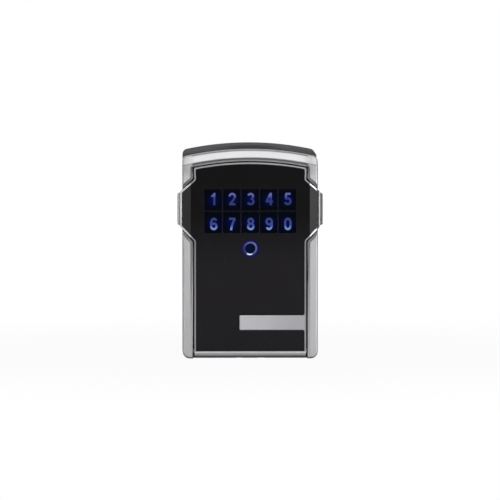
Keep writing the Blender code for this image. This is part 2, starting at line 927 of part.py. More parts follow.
def grip(side):
    inner = body_half + grip_gap
    outer = total_width / 2
    low = wing_z + grip_inset
    high = wing_z + wing_height - grip_inset
    corners = [
        (inner, low, 0),
        (outer, low + grip_end, grip_corner),
        (outer, high - grip_end, grip_corner),
        (inner, high, 0),
    ]
    if side < 0:
        corners = [(-x, z, radius) for x, z, radius in reversed(corners)]
    past = wing_half - fold_x
    near = front_y + past * fold_drop_share + grip_gap
    obj = plate("grip", [corners], near, near + grip_depth)

    is_front = on_plane_y(near)

    def is_outer_front(edge):
        return is_front(edge) and all(abs(vert.co.x) > wing_half for vert in edge.verts)

    soften(obj, grip_corner, 3, is_outer_front)
    return obj


def fascia_panel():
    outlines = [panel_outline(clearance)]
    for x, z in key_places():
        outlines.append(rectangle(x, z, key_width / 2 + clearance, key_height / 2 + clearance, window_corner))
    outlines.append(circle(0, button_z, ring_radius + clearance))
    obj = plate("fascia_panel", outlines, fascia_front_y, fascia_back_y)
    fold_wings(obj)
    return finish(obj, *gloss_black)


def key(name, x, z):
    obj = plate(name, [rectangle(x, z, key_width / 2, key_height / 2, key_corner)], key_front_y, key_back_y)
    soften(obj, key_edge, 2, on_plane_y(key_front_y))
    return finish(obj, *key_black, origin=(x, key_front_y, z))


def keypad_mat():
    outline = rectangle(0, keypad_z, mat_half, field_half_height + mat_margin, window_corner)
    obj = plate("keypad_mat", [outline], mat_front_y, mat_back_y)
    middle_y = (mat_front_y + mat_back_y) / 2
    for x, z in key_places():
        dome = rod("dome", (x, middle_y, z), (x, mat_front_y - dome_height, z), dome_radius, 16,
                   dome_radius * dome_top_share)
        obj = join(obj, dome)
    return finish(obj, *mat_grey)


def light_ring():
    tube = turned(
        "light_ring",
        [
            (ring_radius - ring_width, fascia_front_y + ring_recess - front_y),
            (ring_radius, fascia_front_y + ring_recess - front_y),
            (ring_radius, mat_front_y - front_y),
            (ring_radius + ring_flange, mat_front_y - front_y),
            (ring_radius + ring_flange, mat_front_y + ring_flange_thickness - front_y),
            (ring_radius - ring_width, mat_front_y + ring_flange_thickness - front_y),
            (ring_radius - ring_width, fascia_front_y + ring_recess - front_y),
        ],
        (0, front_y, button_z),
        (0, 1, 0),
        28,
    )
    edit(tube, lambda work: bmesh.ops.recalc_face_normals(work, faces=work.faces))
    return finish(tube, *ring_blue)


def wake_button():
    near = fascia_front_y + button_recess
    far = mat_front_y - stem_height - dome_gap - button_travel
    radius = ring_radius - ring_width - clearance
    obj = rod("wake_button", (0, near, button_z), (0, far, button_z), radius, 24)
    soften(obj, button_edge, 2, on_plane_y(near))
    return finish(obj, *key_black, origin=(0, near, button_z))


def wake_switch():
    half = switch_size / 2
    back = board_front_y - clearance
    obj = box("wake_switch", (-half, mat_front_y, button_z - half), (half, back, button_z + half))
    stem = rod("stem", (0, (mat_front_y + back) / 2, button_z), (0, mat_front_y - stem_height, button_z),
               stem_radius, 12)
    return finish(join(obj, stem), *dark_plastic)


def circuit_board():
    half_height = (board_top_z - board_low_z) / 2
    outline = rectangle(0, board_low_z + half_height, mat_half, half_height, window_corner)
    holes = [circle(x, z, small_shank + clearance, 14) for x, z in board_screw_places()]
    obj = plate("circuit_board", [outline] + holes, board_front_y, board_back_y)
    middle_y = (board_front_y + board_back_y) / 2
    half = chip_size / 2
    chip_z = board_low_z + chip_rise
    for side in (-1, 1):
        x = side * (board_screw_x - chip_pitch)
        chip = box("chip", (x - half, middle_y, chip_z - half),
                   (x + half, board_back_y + chip_height, chip_z + half))
        obj = join(obj, chip, solver="MANIFOLD")
    plug = box("plug", (-plug_width / 2, middle_y, chip_z - plug_height / 2),
               (plug_width / 2, board_back_y + plug_depth, chip_z + plug_height / 2))
    return finish(join(obj, plug, solver="MANIFOLD"), *board_green)


def board_screws():
    length = board_back_y + clearance - (pocket_y + plate_back_y) / 2 - 2 * clearance
    for number, (x, z) in enumerate(board_screw_places(), 1):
        place = (x, board_back_y + clearance, z)
        finish(small_screw(f"board_screw_{number}", place, (0, -1, 0), length), *steel)


# Latch and drive
def latch_bolt():
    half = latch_width / 2
    pinion_reach = tooth_pitch * rack_teeth / 2
    low_z = pinion_z - latch_travel / 2 - pinion_reach - clearance
    obj = box("latch_bolt", (-half, latch_front_y, low_z), (half, latch_back_y, nose_low_z + clearance))
    nose = box("nose", (-half, latch_front_y, nose_low_z), (half, nose_back_y, nose_top_z))

    def is_rear_top(edge):
        is_top = all(abs(vert.co.z - nose_top_z) < plane_distance for vert in edge.verts)
        return is_top and all(vert.co.y > latch_back_y for vert in edge.verts)

    soften(nose, nose_bevel, 2, is_rear_top)
    obj = join(obj, nose)
    for tooth in range(rack_teeth):
        middle = pinion_z - latch_travel / 2 + (tooth - (rack_teeth - 1) / 2) * tooth_pitch + rack_shift()
        obj = join(obj, rack_tooth(middle))
    return finish(obj, *steel, origin=(0, latch_front_y, nose_low_z))


def rack_shift():
    # Brings a gap between two rack teeth onto the pinion's level at rest
    first = pinion_z - latch_travel / 2 - (rack_teeth - 1) / 2 * tooth_pitch
    steps = (pinion_z - first) / tooth_pitch - 1 / 2
    return (steps - round(steps)) * tooth_pitch


def rack_tooth(middle):
    root = tooth_pitch / 4 - backlash + dedendum * math.tan(pressure_angle)
    tip = tooth_pitch / 4 - backlash - addendum * math.tan(pressure_angle)
    bite_y = latch_back_y - latch_thickness / 2
    tip_y = latch_back_y + dedendum + addendum
    half = rack_width / 2
    work = bmesh.new()
    section = [(bite_y, middle - root), (latch_back_y, middle - root), (tip_y, middle - tip),
               (tip_y, middle + tip), (latch_back_y, middle + root), (bite_y, middle + root)]
    face = work.faces.new([work.verts.new((-half, y, z)) for y, z in section])
    result = bmesh.ops.extrude_face_region(work, geom=[face])
    moved = [item for item in result["geom"] if isinstance(item, bmesh.types.BMVert)]
    bmesh.ops.translate(work, verts=moved, vec=(rack_width, 0, 0))
    bmesh.ops.recalc_face_normals(work, faces=work.faces)
    mesh = bpy.data.meshes.new("tooth")
    work.to_mesh(mesh)
    work.free()
    return add_object("tooth", mesh)


def drive_pinion():
    # Toothed wheel on the gear motor's output shaft; one tooth points at the rack at rest
    root_radius = pitch_radius - dedendum
    tip_radius = pitch_radius + addendum
    half_tooth = (tooth_pitch / 4 - backlash) / pitch_radius
    section = []
    for tooth in range(pinion_teeth):
        middle = math.pi + 2 * math.pi * tooth / pinion_teeth
        for radius, share in ((root_radius, -1), (pitch_radius, -1), (tip_radius, -tooth_tip_share),
                              (tip_radius, tooth_tip_share), (pitch_radius, 1), (root_radius, 1)):
            angle = middle + half_tooth * share
            section.append((pinion_y + radius * math.cos(angle), pinion_z + radius * math.sin(angle)))
    half = pinion_width / 2
    work = bmesh.new()
    face = work.faces.new([work.verts.new((-half, y, z)) for y, z in section])
    result = bmesh.ops.extrude_face_region(work, geom=[face])
    moved = [item for item in result["geom"] if isinstance(item, bmesh.types.BMVert)]
    bmesh.ops.translate(work, verts=moved, vec=(pinion_width, 0, 0))
    bmesh.ops.recalc_face_normals(work, faces=work.faces)
    mesh = bpy.data.meshes.new("drive_pinion")
    work.to_mesh(mesh)
    work.free()
    obj = add_object("drive_pinion", mesh)
    shaft = rod("shaft", (motor_face_x + clearance, pinion_y, pinion_z),
                (half + clearance, pinion_y, pinion_z), shaft_radius, 16)
    return finish(join(obj, shaft), *brass, origin=(0, pinion_y, pinion_z))


def lock_motor():
    gearbox_x = motor_face_x - gearbox_length
    can_x = gearbox_x - motor_length
    half = gearbox_side / 2
    obj = rod("lock_motor", (can_x, pinion_y, pinion_z), (gearbox_x + clearance, pinion_y, pinion_z),
              motor_radius, 28)
    gearbox = box("gearbox", (gearbox_x, pinion_y - half, pinion_z - half),
                  (motor_face_x, pinion_y + half, pinion_z + half))
    rear = rod("rear", (can_x - motor_boss_length, pinion_y, pinion_z),
               (can_x + clearance, pinion_y, pinion_z), motor_boss_radius, 16)
    return finish(join(obj, gearbox, rear), *steel)


def motor_saddle():
    can_middle = motor_face_x - gearbox_length - motor_length / 2
    half = motor_length * saddle_length_share / 2
    reach = motor_radius + clearance + saddle_wall
    obj = box("motor_saddle", (can_middle - half, board_back_y + clearance, pinion_z - reach),
              (can_middle + half, pinion_y, pinion_z + reach))
    room = rod("room", (can_middle - half - overrun, pinion_y, pinion_z),
               (can_middle + half + overrun, pinion_y, pinion_z), motor_radius + clearance, 28)
    return finish(cut(obj, room), *dark_plastic)


def latch_guide():
    half = latch_width / 2 + slot_gap
    channel_y = latch_back_y + dedendum + addendum + clearance
    obj = box("latch_guide", (-half - guide_wall, board_back_y + clearance, guide_top_z - guide_height),
              (half + guide_wall, cover_front_y - clearance, guide_top_z))
    channel = box("channel", (-half, board_back_y - overrun, guide_top_z - guide_height - overrun),
                  (half, channel_y, guide_top_z + overrun))
    return finish(cut(obj, channel), *dark_plastic)


# Battery
def battery_holder():
    half = bay_half + holder_wall
    half_height = bay_half_height + holder_wall
    obj = box("battery_holder", (-half, mat_front_y, battery_z - half_height),
              (half, tray_back_y, battery_z + half_height))
    room = box("room", (-bay_half, mat_front_y + holder_floor, battery_z - bay_half_height),
               (bay_half, tray_back_y + overrun, battery_z + bay_half_height))
    return finish(cut(obj, room), *dark_plastic)


def battery():
    left = battery_x - battery_length / 2
    right = battery_x + battery_length / 2
    obj = rod("battery", (left, battery_y, battery_z), (right, battery_y, battery_z), battery_radius, 32)
    nub = rod("nub", (right - clearance, battery_y, battery_z),
              (right + battery_nub_length, battery_y, battery_z), battery_nub_radius, 20)
    return finish(join(obj, nub), *cell_white)


def battery_contact():
    half = contact_side / 2
    right = bay_half - clearance
    obj = box("battery_contact", (right - contact_thickness, battery_y - half, battery_z - half),
              (right, battery_y + half, battery_z + half))
    return finish(obj, *brass)


def battery_spring():
    # Cone spring between the holder's wall and the flat end of the cell
    curve = bpy.data.curves.new("battery_spring", "CURVE")
    curve.dimensions = "3D"
    curve.bevel_depth = spring_wire
    curve.bevel_resolution = 1
    curve.use_fill_caps = True
    total = spring_turns * spring_points
    start_x = -bay_half + clearance + spring_wire
    end_x = start_x + spring_length - 2 * spring_wire
    spline = curve.splines.new("POLY")
    spline.points.add(total)
    for step in range(total + 1):
        share = step / total
        angle = 2 * math.pi * spring_turns * share
        radius = spring_radius + (spring_top_radius - spring_radius) * share
        spline.points[step].co = (
            start_x + (end_x - start_x) * share,
            battery_y + radius * math.cos(angle),
            battery_z + radius * math.sin(angle),
            1,
        )
    obj = bake(add_object("battery_spring", curve))
    weld(obj)
    return finish(obj, *steel)


def battery_cover():
    half = bay_half + collar_wall
    half_height = bay_half_height + collar_wall
    tab_x = half + tab_length
    low_z = battery_z - half_height
    high_z = battery_z + half_height
    tab_low_z = battery_z - tab_width / 2
    tab_high_z = battery_z + tab_width / 2
    outline = [
        (half, low_z, lid_corner),
        (half, tab_low_z, 0),
        (tab_x, tab_low_z, lid_corner),
        (tab_x, tab_high_z, lid_corner),
        (half, tab_high_z, 0),
        (half, high_z, lid_corner),
        (-half, high_z, lid_corner),
        (-half, low_z, lid_corner),
    ]
    obj = plate("battery_cover", [outline], lid_front_y, lid_back_y)
    middle_y = (lid_front_y + lid_back_y) / 2
    outer = bay_half_height - clearance
    for side in (-1, 1):
        near_z, far_z = sorted((battery_z + side * outer, battery_z + side * (outer - lip_wall)))
        lip = box("lip", (-bay_half * lip_length_share, lid_front_y - lip_height, near_z),
                  (bay_half * lip_length_share, middle_y, far_z))
        obj = join(obj, lip)
    hole = rod("hole", (tab_screw_x, lid_front_y - overrun, battery_z),
               (tab_screw_x, lid_back_y + overrun, battery_z), small_shank + clearance, 14)
    return finish(cut(obj, hole), *dark_plastic)


def battery_cover_screw():
    length = lid_thickness + collar_back_y - cover_back_y + cover_thickness
    place = (tab_screw_x, lid_back_y + clearance, battery_z)
    return finish(small_screw("battery_cover_screw", place, (0, -1, 0), length), *steel)


def inner_cover():
    obj = plate("inner_cover", [tray_outline(cover_margin)], cover_front_y, cover_back_y)
    middle_y = (cover_front_y + cover_back_y) / 2
    rim = rectangle(0, battery_z, bay_half + collar_wall, bay_half_height + collar_wall,
                    lid_corner + collar_wall)
    collar = plate("collar", [rim], middle_y, collar_back_y)
    post = rod("post", (tab_screw_x, middle_y, battery_z),
               (tab_screw_x, collar_back_y - clearance, battery_z), small_head + clearance, 18)
    obj = join(obj, collar, post)
    for rib in range(cover_ribs):
        z = tray_top_z - cover_rib_drop + rib * cover_rib_pitch
        obj = join(obj, box("rib", (-cover_rib_length / 2, middle_y, z),
                            (cover_rib_length / 2, cover_back_y + cover_rib_height, z + cover_rib_width)))
    opening = plate("opening", [rectangle(0, battery_z, bay_half, bay_half_height, lid_corner)],
                    cover_front_y - overrun, collar_back_y + overrun)
    obj = cut(obj, opening)
    for x, z in boss_places() + [(tab_screw_x, battery_z)]:
        obj = cut(obj, rod("bore", (x, cover_front_y - overrun, z), (x, collar_back_y + overrun, z),
                           small_shank + clearance, 14))
    return finish(obj, *dark_plastic)


def inner_cover_screws():
    length = cover_thickness + clearance + small_length - 2 * clearance
    for number, (x, z) in enumerate(boss_places(), 1):
        place = (x, cover_back_y + clearance, z)
        finish(small_screw(f"inner_cover_screw_{number}", place, (0, -1, 0), length), *steel)


def jump_contacts():
    low = floor_gap + stud_recess
    for number, side in enumerate((-1, 1), 1):
        x = side * stud_pitch / 2
        stud = rod(f"jump_contact_{number}", (x, hinge_y, low), (x, hinge_y, low + stud_length),
                   stud_radius, 18)
        finish(stud, *brass)


def build():
    rear_housing()
    front_bezel()
    assembly_screws()
    strike_plate()
    strike_screws()
    hinge_pin()
    door_gasket()
    door_frame()
    fascia_panel()
    for name, (x, z) in zip(key_names, key_places()):
        key(name, x, z)
    keypad_mat()
    light_ring()
    wake_button()
    wake_switch()
    circuit_board()
    board_screws()
    latch_bolt()
    latch_guide()
    drive_pinion()
    lock_motor()
    motor_saddle()
    battery_holder()
    battery()
    battery_contact()
    battery_spring()
    inner_cover()
    inner_cover_screws()
    battery_cover()
    battery_cover_screw()
    jump_contacts()


build()
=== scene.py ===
import json
import math

import bmesh
import bpy
from mathutils import Matrix, Vector
from mathutils.geometry import delaunay_2d_cdt
from mathutils.kdtree import KDTree


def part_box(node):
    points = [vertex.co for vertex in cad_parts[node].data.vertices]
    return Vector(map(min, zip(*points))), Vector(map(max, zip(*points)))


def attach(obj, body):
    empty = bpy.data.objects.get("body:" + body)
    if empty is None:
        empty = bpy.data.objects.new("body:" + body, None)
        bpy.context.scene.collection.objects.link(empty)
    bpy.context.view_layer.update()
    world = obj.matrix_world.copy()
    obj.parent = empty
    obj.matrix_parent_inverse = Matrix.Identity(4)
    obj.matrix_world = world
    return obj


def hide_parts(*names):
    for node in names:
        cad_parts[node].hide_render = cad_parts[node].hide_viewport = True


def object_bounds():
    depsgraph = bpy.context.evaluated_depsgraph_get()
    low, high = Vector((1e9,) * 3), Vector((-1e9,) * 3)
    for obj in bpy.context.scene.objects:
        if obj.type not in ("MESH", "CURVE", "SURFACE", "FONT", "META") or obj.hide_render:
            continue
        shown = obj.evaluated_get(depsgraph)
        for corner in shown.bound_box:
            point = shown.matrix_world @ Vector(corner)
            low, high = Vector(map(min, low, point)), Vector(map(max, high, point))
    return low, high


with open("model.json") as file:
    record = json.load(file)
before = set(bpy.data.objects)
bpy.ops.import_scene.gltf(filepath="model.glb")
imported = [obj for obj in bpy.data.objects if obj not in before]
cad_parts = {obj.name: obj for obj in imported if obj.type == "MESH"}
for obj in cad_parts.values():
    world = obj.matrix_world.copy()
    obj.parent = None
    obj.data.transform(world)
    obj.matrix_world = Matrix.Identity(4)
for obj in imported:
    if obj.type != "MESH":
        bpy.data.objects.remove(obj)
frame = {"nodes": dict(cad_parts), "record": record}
nodes = frame["nodes"]
record = frame["record"]
bodyOfNode = {node: body for body, members in record["behaviour"]["bodies"].items() for node in members}
slotOfNode = {row["node"]: row["material_slot"] for row in record["subparts"]}
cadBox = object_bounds()
mm = 0.001
print("frame loaded:", len(nodes), "nodes")


# Small helpers for shader trees
def feed(tree, sockets, values):
    # Each value is plain, or the output of another node
    for name, value in values.items():
        if hasattr(value, "is_output"):
            tree.links.new(value, sockets[name])
        else:
            sockets[name].default_value = value


def addNode(tree, kind, inputs=None, **settings):
    node = tree.nodes.new(kind)
    for name, value in settings.items():
        setattr(node, name, value)
    feed(tree, node.inputs, inputs or {})
    return node


def newGroup(name, inputs, outputs):
    group = bpy.data.node_groups.new(name, "ShaderNodeTree")
    for socket, value in inputs.items():
        kind = "NodeSocketVector" if hasattr(value, "__len__") else "NodeSocketFloat"
        group.interface.new_socket(name=socket, in_out="INPUT", socket_type=kind).default_value = value
    for socket in outputs:
        group.interface.new_socket(name=socket, in_out="OUTPUT", socket_type="NodeSocketFloat")
    return group, group.nodes.new("NodeGroupInput").outputs, group.nodes.new("NodeGroupOutput").inputs


def useGroup(tree, group, **values):
    return addNode(tree, "ShaderNodeGroup", values, node_tree=group).outputs


def maths(tree, operation, *values, clamp=False):
    node = addNode(tree, "ShaderNodeMath", dict(enumerate(values)), operation=operation, use_clamp=clamp)
    return node.outputs[0]


def product(tree, first, *others):
    for value in others:
        first = maths(tree, "MULTIPLY", first, value)
    return first


def vectorMaths(tree, operation, *values):
    node = addNode(tree, "ShaderNodeVectorMath", dict(enumerate(values)), operation=operation)
    return node.outputs["Value" if operation in ("LENGTH", "DOT_PRODUCT") else "Vector"]


def mixColours(tree, share, first, second):
    return addNode(tree, "ShaderNodeMix", {0: share, 6: first, 7: second}, data_type="RGBA").outputs[2]


def mixLevels(tree, share, first, second):
    return addNode(tree, "ShaderNodeMix", {0: share, 2: first, 3: second}, data_type="FLOAT").outputs[0]


def scaleColour(tree, colour, factor):
    plain = colour if hasattr(colour, "is_output") else colour[:3]
    return addNode(tree, "ShaderNodeVectorMath", {0: plain, "Scale": factor}, operation="SCALE").outputs[0]


def objectPlace(tree):
    return addNode(tree, "ShaderNodeTexCoord").outputs["Object"]


def surfaceNormal(tree):
    return addNode(tree, "ShaderNodeTexCoord").outputs["Normal"]


def coordinate(tree, axis, vector=None):
    # One coordinate of the object's own space, or of another vector
    return addNode(tree, "ShaderNodeSeparateXYZ", {0: vector or objectPlace(tree)}).outputs[axis]


def noise(tree, scale, detail=2.0, roughness=0.5, vector=None, distortion=0.0):
    return addNode(tree, "ShaderNodeTexNoise", {
        "Vector": vector or objectPlace(tree), "Scale": scale, "Detail": detail, "Roughness": roughness,
        "Distortion": distortion}).outputs[0]


def smoothStep(tree, value, low, high):
    return addNode(tree, "ShaderNodeMapRange", {0: value, "From Min": low, "From Max": high},
                   interpolation_type="SMOOTHSTEP").outputs[0]


def ramp(tree, factor, stops):
    node = addNode(tree, "ShaderNodeValToRGB", {0: factor})
    while len(node.color_ramp.elements) < len(stops):
        node.color_ramp.elements.new(0.5)
    for element, (place, colour) in zip(node.color_ramp.elements, stops):
        element.position = place
        element.color = colour if hasattr(colour, "__len__") else grey(colour)
    return node.outputs[0]


def fromMiddle(tree, axis, middle):
    return maths(tree, "ABSOLUTE", maths(tree, "SUBTRACT", coordinate(tree, axis), middle))


def radialFade(tree, centre, inner, outer, stretch=(1.0, 1.0, 1.0)):
    # 1 inside the inner radius and 0 outside the outer one, round a point on the front
    offset = vectorMaths(tree, "SUBTRACT", objectPlace(tree), centre)
    length = vectorMaths(tree, "LENGTH", vectorMaths(tree, "DIVIDE", offset, stretch))
    return smoothStep(tree, length, outer, inner)


def boxFade(tree, corners, margin):
    # 1 inside a rectangle of the front, falling to 0 at its margin
    low, high = corners
    shares = []
    for axis, start, end in (("X", low.x, high.x), ("Z", low.z, high.z)):
        half = (end - start) / 2
        shares.append(smoothStep(tree, fromMiddle(tree, axis, (start + end) / 2), half, half - margin))
    return product(tree, *shares)


def facingFront(tree):
    # 1 on faces that look towards the front of the box, 0 on its sides, top and back
    forward = maths(tree, "MULTIPLY", coordinate(tree, "Y", surfaceNormal(tree)), -1.0)
    return smoothStep(tree, forward, 0.35, 0.65)


def grey(value):
    return (value, value, value, 1.0)


# Effects that several finishes share, each one a node group
effectLook = {
    "flakesPerGrain": 3.0,
    "driftScale": 55.0,
    "wearScale": 420.0,
    "wearBreak": (0.42, 0.66),
    "wearGain": 9.0,
    "dirtScale": 260.0,
    "deepGap": (0.46, 0.68),
    "smearScale": 70.0,
    "smearSpread": (0.4, 0.7),
    "scratchTurn": (0.3, 0.5, 0.4),
    "scratchScale": (1400.0, 900.0, 40.0),
    "scratchEdge": (0.68, 0.76),
}


def makePaintGrain():
    # Fine orange peel of a sprayed coat, metal flakes, and a slow drift of tone over the casting
    group, entry, leave = newGroup(
        "paintGrain", {"Size": 0.6 * mm, "Drift": 0.05}, ("Height", "Tone", "Fleck"))
    scale = maths(group, "DIVIDE", 1.0, entry["Size"])
    fine = maths(group, "MULTIPLY", scale, effectLook["flakesPerGrain"])
    flakes = addNode(group, "ShaderNodeTexVoronoi", {
        "Vector": objectPlace(group), "Scale": fine}, feature="F1")
    fleck = addNode(group, "ShaderNodeSeparateColor", {0: flakes.outputs["Color"]}).outputs[0]
    drift = maths(group, "SUBTRACT", noise(group, effectLook["driftScale"], 3.0), 0.5)
    feed(group, leave, {
        "Height": noise(group, scale, 2.0, 0.55),
        "Tone": maths(group, "MULTIPLY", drift, entry["Drift"]),
        "Fleck": maths(group, "SUBTRACT", fleck, 0.5),
    })
    return group


def makeEdgeWear():
    # Marks rounded outer edges, broken up so that the rubbed places don't run in an even line
    group, entry, leave = newGroup("edgeWear", {"Radius": 0.3 * mm, "Amount": 0.5}, ("Mask",))
    rounded = addNode(group, "ShaderNodeBevel", {"Radius": entry["Radius"]}, samples=4).outputs[0]
    normal = addNode(group, "ShaderNodeNewGeometry").outputs["Normal"]
    turnedBy = maths(group, "SUBTRACT", 1.0, vectorMaths(group, "DOT_PRODUCT", rounded, normal))
    strong = maths(group, "MULTIPLY", turnedBy, effectLook["wearGain"], clamp=True)
    spots = noise(group, effectLook["wearScale"], 4.0, 0.65)
    broken = smoothStep(group, spots, *effectLook["wearBreak"])
    feed(group, leave, {"Mask": product(group, strong, broken, entry["Amount"])})
    return group


def makeCreviceDustAndShade():
    # Painted shade and dust in gaps, from ambient occlusion: Mask is thin and wide, Deep only in narrow gaps
    group, entry, leave = newGroup("creviceDirt", {"Reach": 2.0 * mm, "Amount": 0.5}, ("Mask", "Deep"))
    hollow = addNode(group, "ShaderNodeAmbientOcclusion", {"Distance": entry["Reach"]}, samples=8)
    closed = maths(group, "SUBTRACT", 1.0, hollow.outputs["AO"])
    uneven = maths(group, "MULTIPLY_ADD", noise(group, effectLook["dirtScale"], 3.0, 0.6), 0.6, 0.7)
    mask = maths(group, "MULTIPLY", closed, uneven, clamp=True)
    feed(group, leave, {
        "Mask": maths(group, "MULTIPLY", mask, entry["Amount"]),
        "Deep": smoothStep(group, closed, *effectLook["deepGap"]),
    })
    return group


def makeHandling():
    # Wiped smears and hair-fine scratches: puts out a change of roughness
    group, entry, leave = newGroup("handling", {"Smear": 0.08, "Scratch": 0.1}, ("Roughness", "Height"))
    smears = noise(group, effectLook["smearScale"], 5.0, 0.6, distortion=1.2)
    spread = smoothStep(group, smears, *effectLook["smearSpread"])
    stretch = addNode(group, "ShaderNodeMapping", {
        "Vector": objectPlace(group),
        "Rotation": effectLook["scratchTurn"],
        "Scale": effectLook["scratchScale"],
    })
    lines = noise(group, 1.0, 1.0, vector=stretch.outputs[0])
    fine = smoothStep(group, lines, *effectLook["scratchEdge"])
    scratched = maths(group, "MULTIPLY", fine, entry["Scratch"])
    feed(group, leave, {
        "Roughness": maths(group, "MULTIPLY_ADD", spread, entry["Smear"], scratched),
        "Height": maths(group, "MULTIPLY", scratched, -1.0),
    })
    return group


def makeDrawnLines():
    # The long fine lines that drawing, rolling or turning leaves on metal
    group, entry, leave = newGroup("drawnLines", {"Across": (2600.0, 2600.0, 60.0)}, ("Height", "Tone"))
    stretched = vectorMaths(group, "MULTIPLY", objectPlace(group), entry["Across"])
    lines = noise(group, 1.0, 3.0, 0.6, vector=stretched)
    feed(group, leave, {"Height": lines, "Tone": maths(group, "SUBTRACT", lines, 0.5)})
    return group


def makeHeightFade():
    # Runs from 0 at the height Low to 1 at the height High
    group, entry, leave = newGroup("heightFade", {"Low": 0.0, "High": 0.1}, ("Share",))
    above = maths(group, "SUBTRACT", coordinate(group, "Z"), entry["Low"])
    span = maths(group, "SUBTRACT", entry["High"], entry["Low"])
    feed(group, leave, {"Share": maths(group, "DIVIDE", above, span, clamp=True)})
    return group


def makeEdgeLean():
    # Which way an edge turns the surface beside it: towards the middle of the front, away from it, or up
    group, entry, leave = newGroup(
        "edgeLean",
        {"Centre": (0.0, 0.0, 0.06), "Steepness": 0.3, "Turn": 0.1, "Spread": 0.5 * mm},
        ("Inward", "Outward", "Upward"),
    )
    rounded = addNode(group, "ShaderNodeBevel", {"Radius": entry["Spread"]}, samples=8).outputs[0]
    facing = addNode(group, "ShaderNodeVectorTransform", {0: rounded}, vector_type="NORMAL",
                     convert_from="WORLD", convert_to="OBJECT").outputs[0]
    inward = vectorMaths(group, "SUBTRACT", entry["Centre"], objectPlace(group))
    way = vectorMaths(group, "NORMALIZE", vectorMaths(group, "MULTIPLY", inward, (1.0, 0.0, 1.0)))
    swing = vectorMaths(group, "SUBTRACT", facing, surfaceNormal(group))
    steep, turn = [maths(group, "DIVIDE", vectorMaths(group, "DOT_PRODUCT", way, vector), entry[most])
                   for vector, most in ((facing, "Steepness"), (swing, "Turn"))]
    feed(group, leave, {
        "Inward": maths(group, "MAXIMUM", steep, turn, clamp=True),
        "Outward": maths(group, "MULTIPLY", turn, -1.0, clamp=True),
        "Upward": maths(group, "DIVIDE", coordinate(group, "Z", swing), entry["Turn"], clamp=True),
    })
    return group


paintGrain = makePaintGrain()
edgeWear = makeEdgeWear()
creviceDirt = makeCreviceDustAndShade()
handling = makeHandling()
drawnLines = makeDrawnLines()
heightFade = makeHeightFade()
edgeLean = makeEdgeLean()
print("shared effects ready")


# Finishes
def newMaterial(name, values):
    material = bpy.data.materials.new(name)
    material.use_nodes = True
    shader = material.node_tree.nodes["Principled BSDF"].inputs
    feed(material.node_tree, shader, values)
    return material, material.node_tree, shader


def addBump(tree, shader, height, depth, strength=1.0):
    bump = addNode(tree, "ShaderNodeBump", {"Strength": strength, "Distance": depth, "Height": height})
    feed(tree, shader, {"Normal": bump.outputs[0]})


def heightShare(tree, low, high):
    return useGroup(tree, heightFade, Low=low, High=high)["Share"]


def toneBy(tree, value, levels):
    # Lightness by a length, from (millimetres, lightness) pairs
    first, last = levels[0][0] * mm, levels[-1][0] * mm
    most = max(level for place, level in levels)
    share = addNode(tree, "ShaderNodeMapRange", {0: value, "From Min": first, "From Max": last}).outputs[0]
    stops = [((place * mm - first) / (last - first), level / most) for place, level in levels]
    return maths(tree, "MULTIPLY", ramp(tree, share, stops), most)


def onlyWhere(tree, tone, *shares):
    # The tone where every share is 1, and 1 where one of them is 0
    return maths(tree, "ADD", product(tree, maths(tree, "SUBTRACT", tone, 1.0), *shares), 1.0)


def lightenPlaque(tree, look, colour):
    # The plain tongue at lower right is lighter than the rest of the door's frame, with painted light that
    # grows towards its left end
    x, z = coordinate(tree, "X"), coordinate(tree, "Z")
    left, right = look["left"], look["right"]
    inside = product(tree, maths(tree, "GREATER_THAN", x, left), maths(tree, "LESS_THAN", x, right),
                     maths(tree, "GREATER_THAN", z, look["low"]), maths(tree, "LESS_THAN", z, look["high"]))
    plaqueLight = mixColours(tree, smoothStep(tree, x, left, right), look["leftColour"], look["colour"])
    return mixColours(tree, inside, colour, plaqueLight)


def shadeBevel(tree, look, colour, dustAndShade, front):
    # Painted shade: the bevel round the door is darker than the face, most of all near the top
    edges = useGroup(tree, edgeLean, Steepness=look["steepness"], Turn=look["turn"], Spread=look["spread"])
    # The right rail has a second narrow facet outside its bevel, which gets the same painted shade
    lean = maths(tree, "MAXIMUM", edges["Inward"], boxFade(tree, look["facet"], look["facetSoft"]))
    least = look["least"]
    share = maths(tree, "MULTIPLY_ADD", heightShare(tree, 0.0, look["high"]), 1 - least, least)
    # Painted light: the bevel turns lighter where the gap's shade-and-dust mask is strong, towards its inner
    # edge
    rubbed = smoothStep(tree, dustAndShade["Mask"], *look["rubbed"])
    bevel = mixColours(tree, rubbed, look["colour"], look["rubbedColour"])
    colour = mixColours(tree, product(tree, lean, share), colour, bevel)
    # Painted shade: the brow's upper edge is a thin greyer line, and its two ends fall away
    brow = heightShare(tree, *look["brow"])
    aside = maths(tree, "ABSOLUTE", coordinate(tree, "X"))
    ends = product(tree, smoothStep(tree, aside, *look["endAside"]),
                   heightShare(tree, *look["endHeight"]), front)
    shadedLine = maths(tree, "MAXIMUM", product(tree, edges["Upward"], front, brow), ends)
    colour = mixColours(tree, shadedLine, colour, look["lineColour"])
    # Painted light and shade: the arch changes in lightness with the distance from its centre, and fades out
    # before the two rails
    offset = vectorMaths(tree, "SUBTRACT", objectPlace(tree), look["archCentre"])
    radius = vectorMaths(tree, "LENGTH", vectorMaths(tree, "MULTIPLY", offset, (1.0, 0.0, 1.0)))
    middle = smoothStep(tree, aside, *look["archAside"])
    tone = onlyWhere(tree, toneBy(tree, radius, look["archTones"]), middle, brow, front)
    return scaleColour(tree, colour, tone)


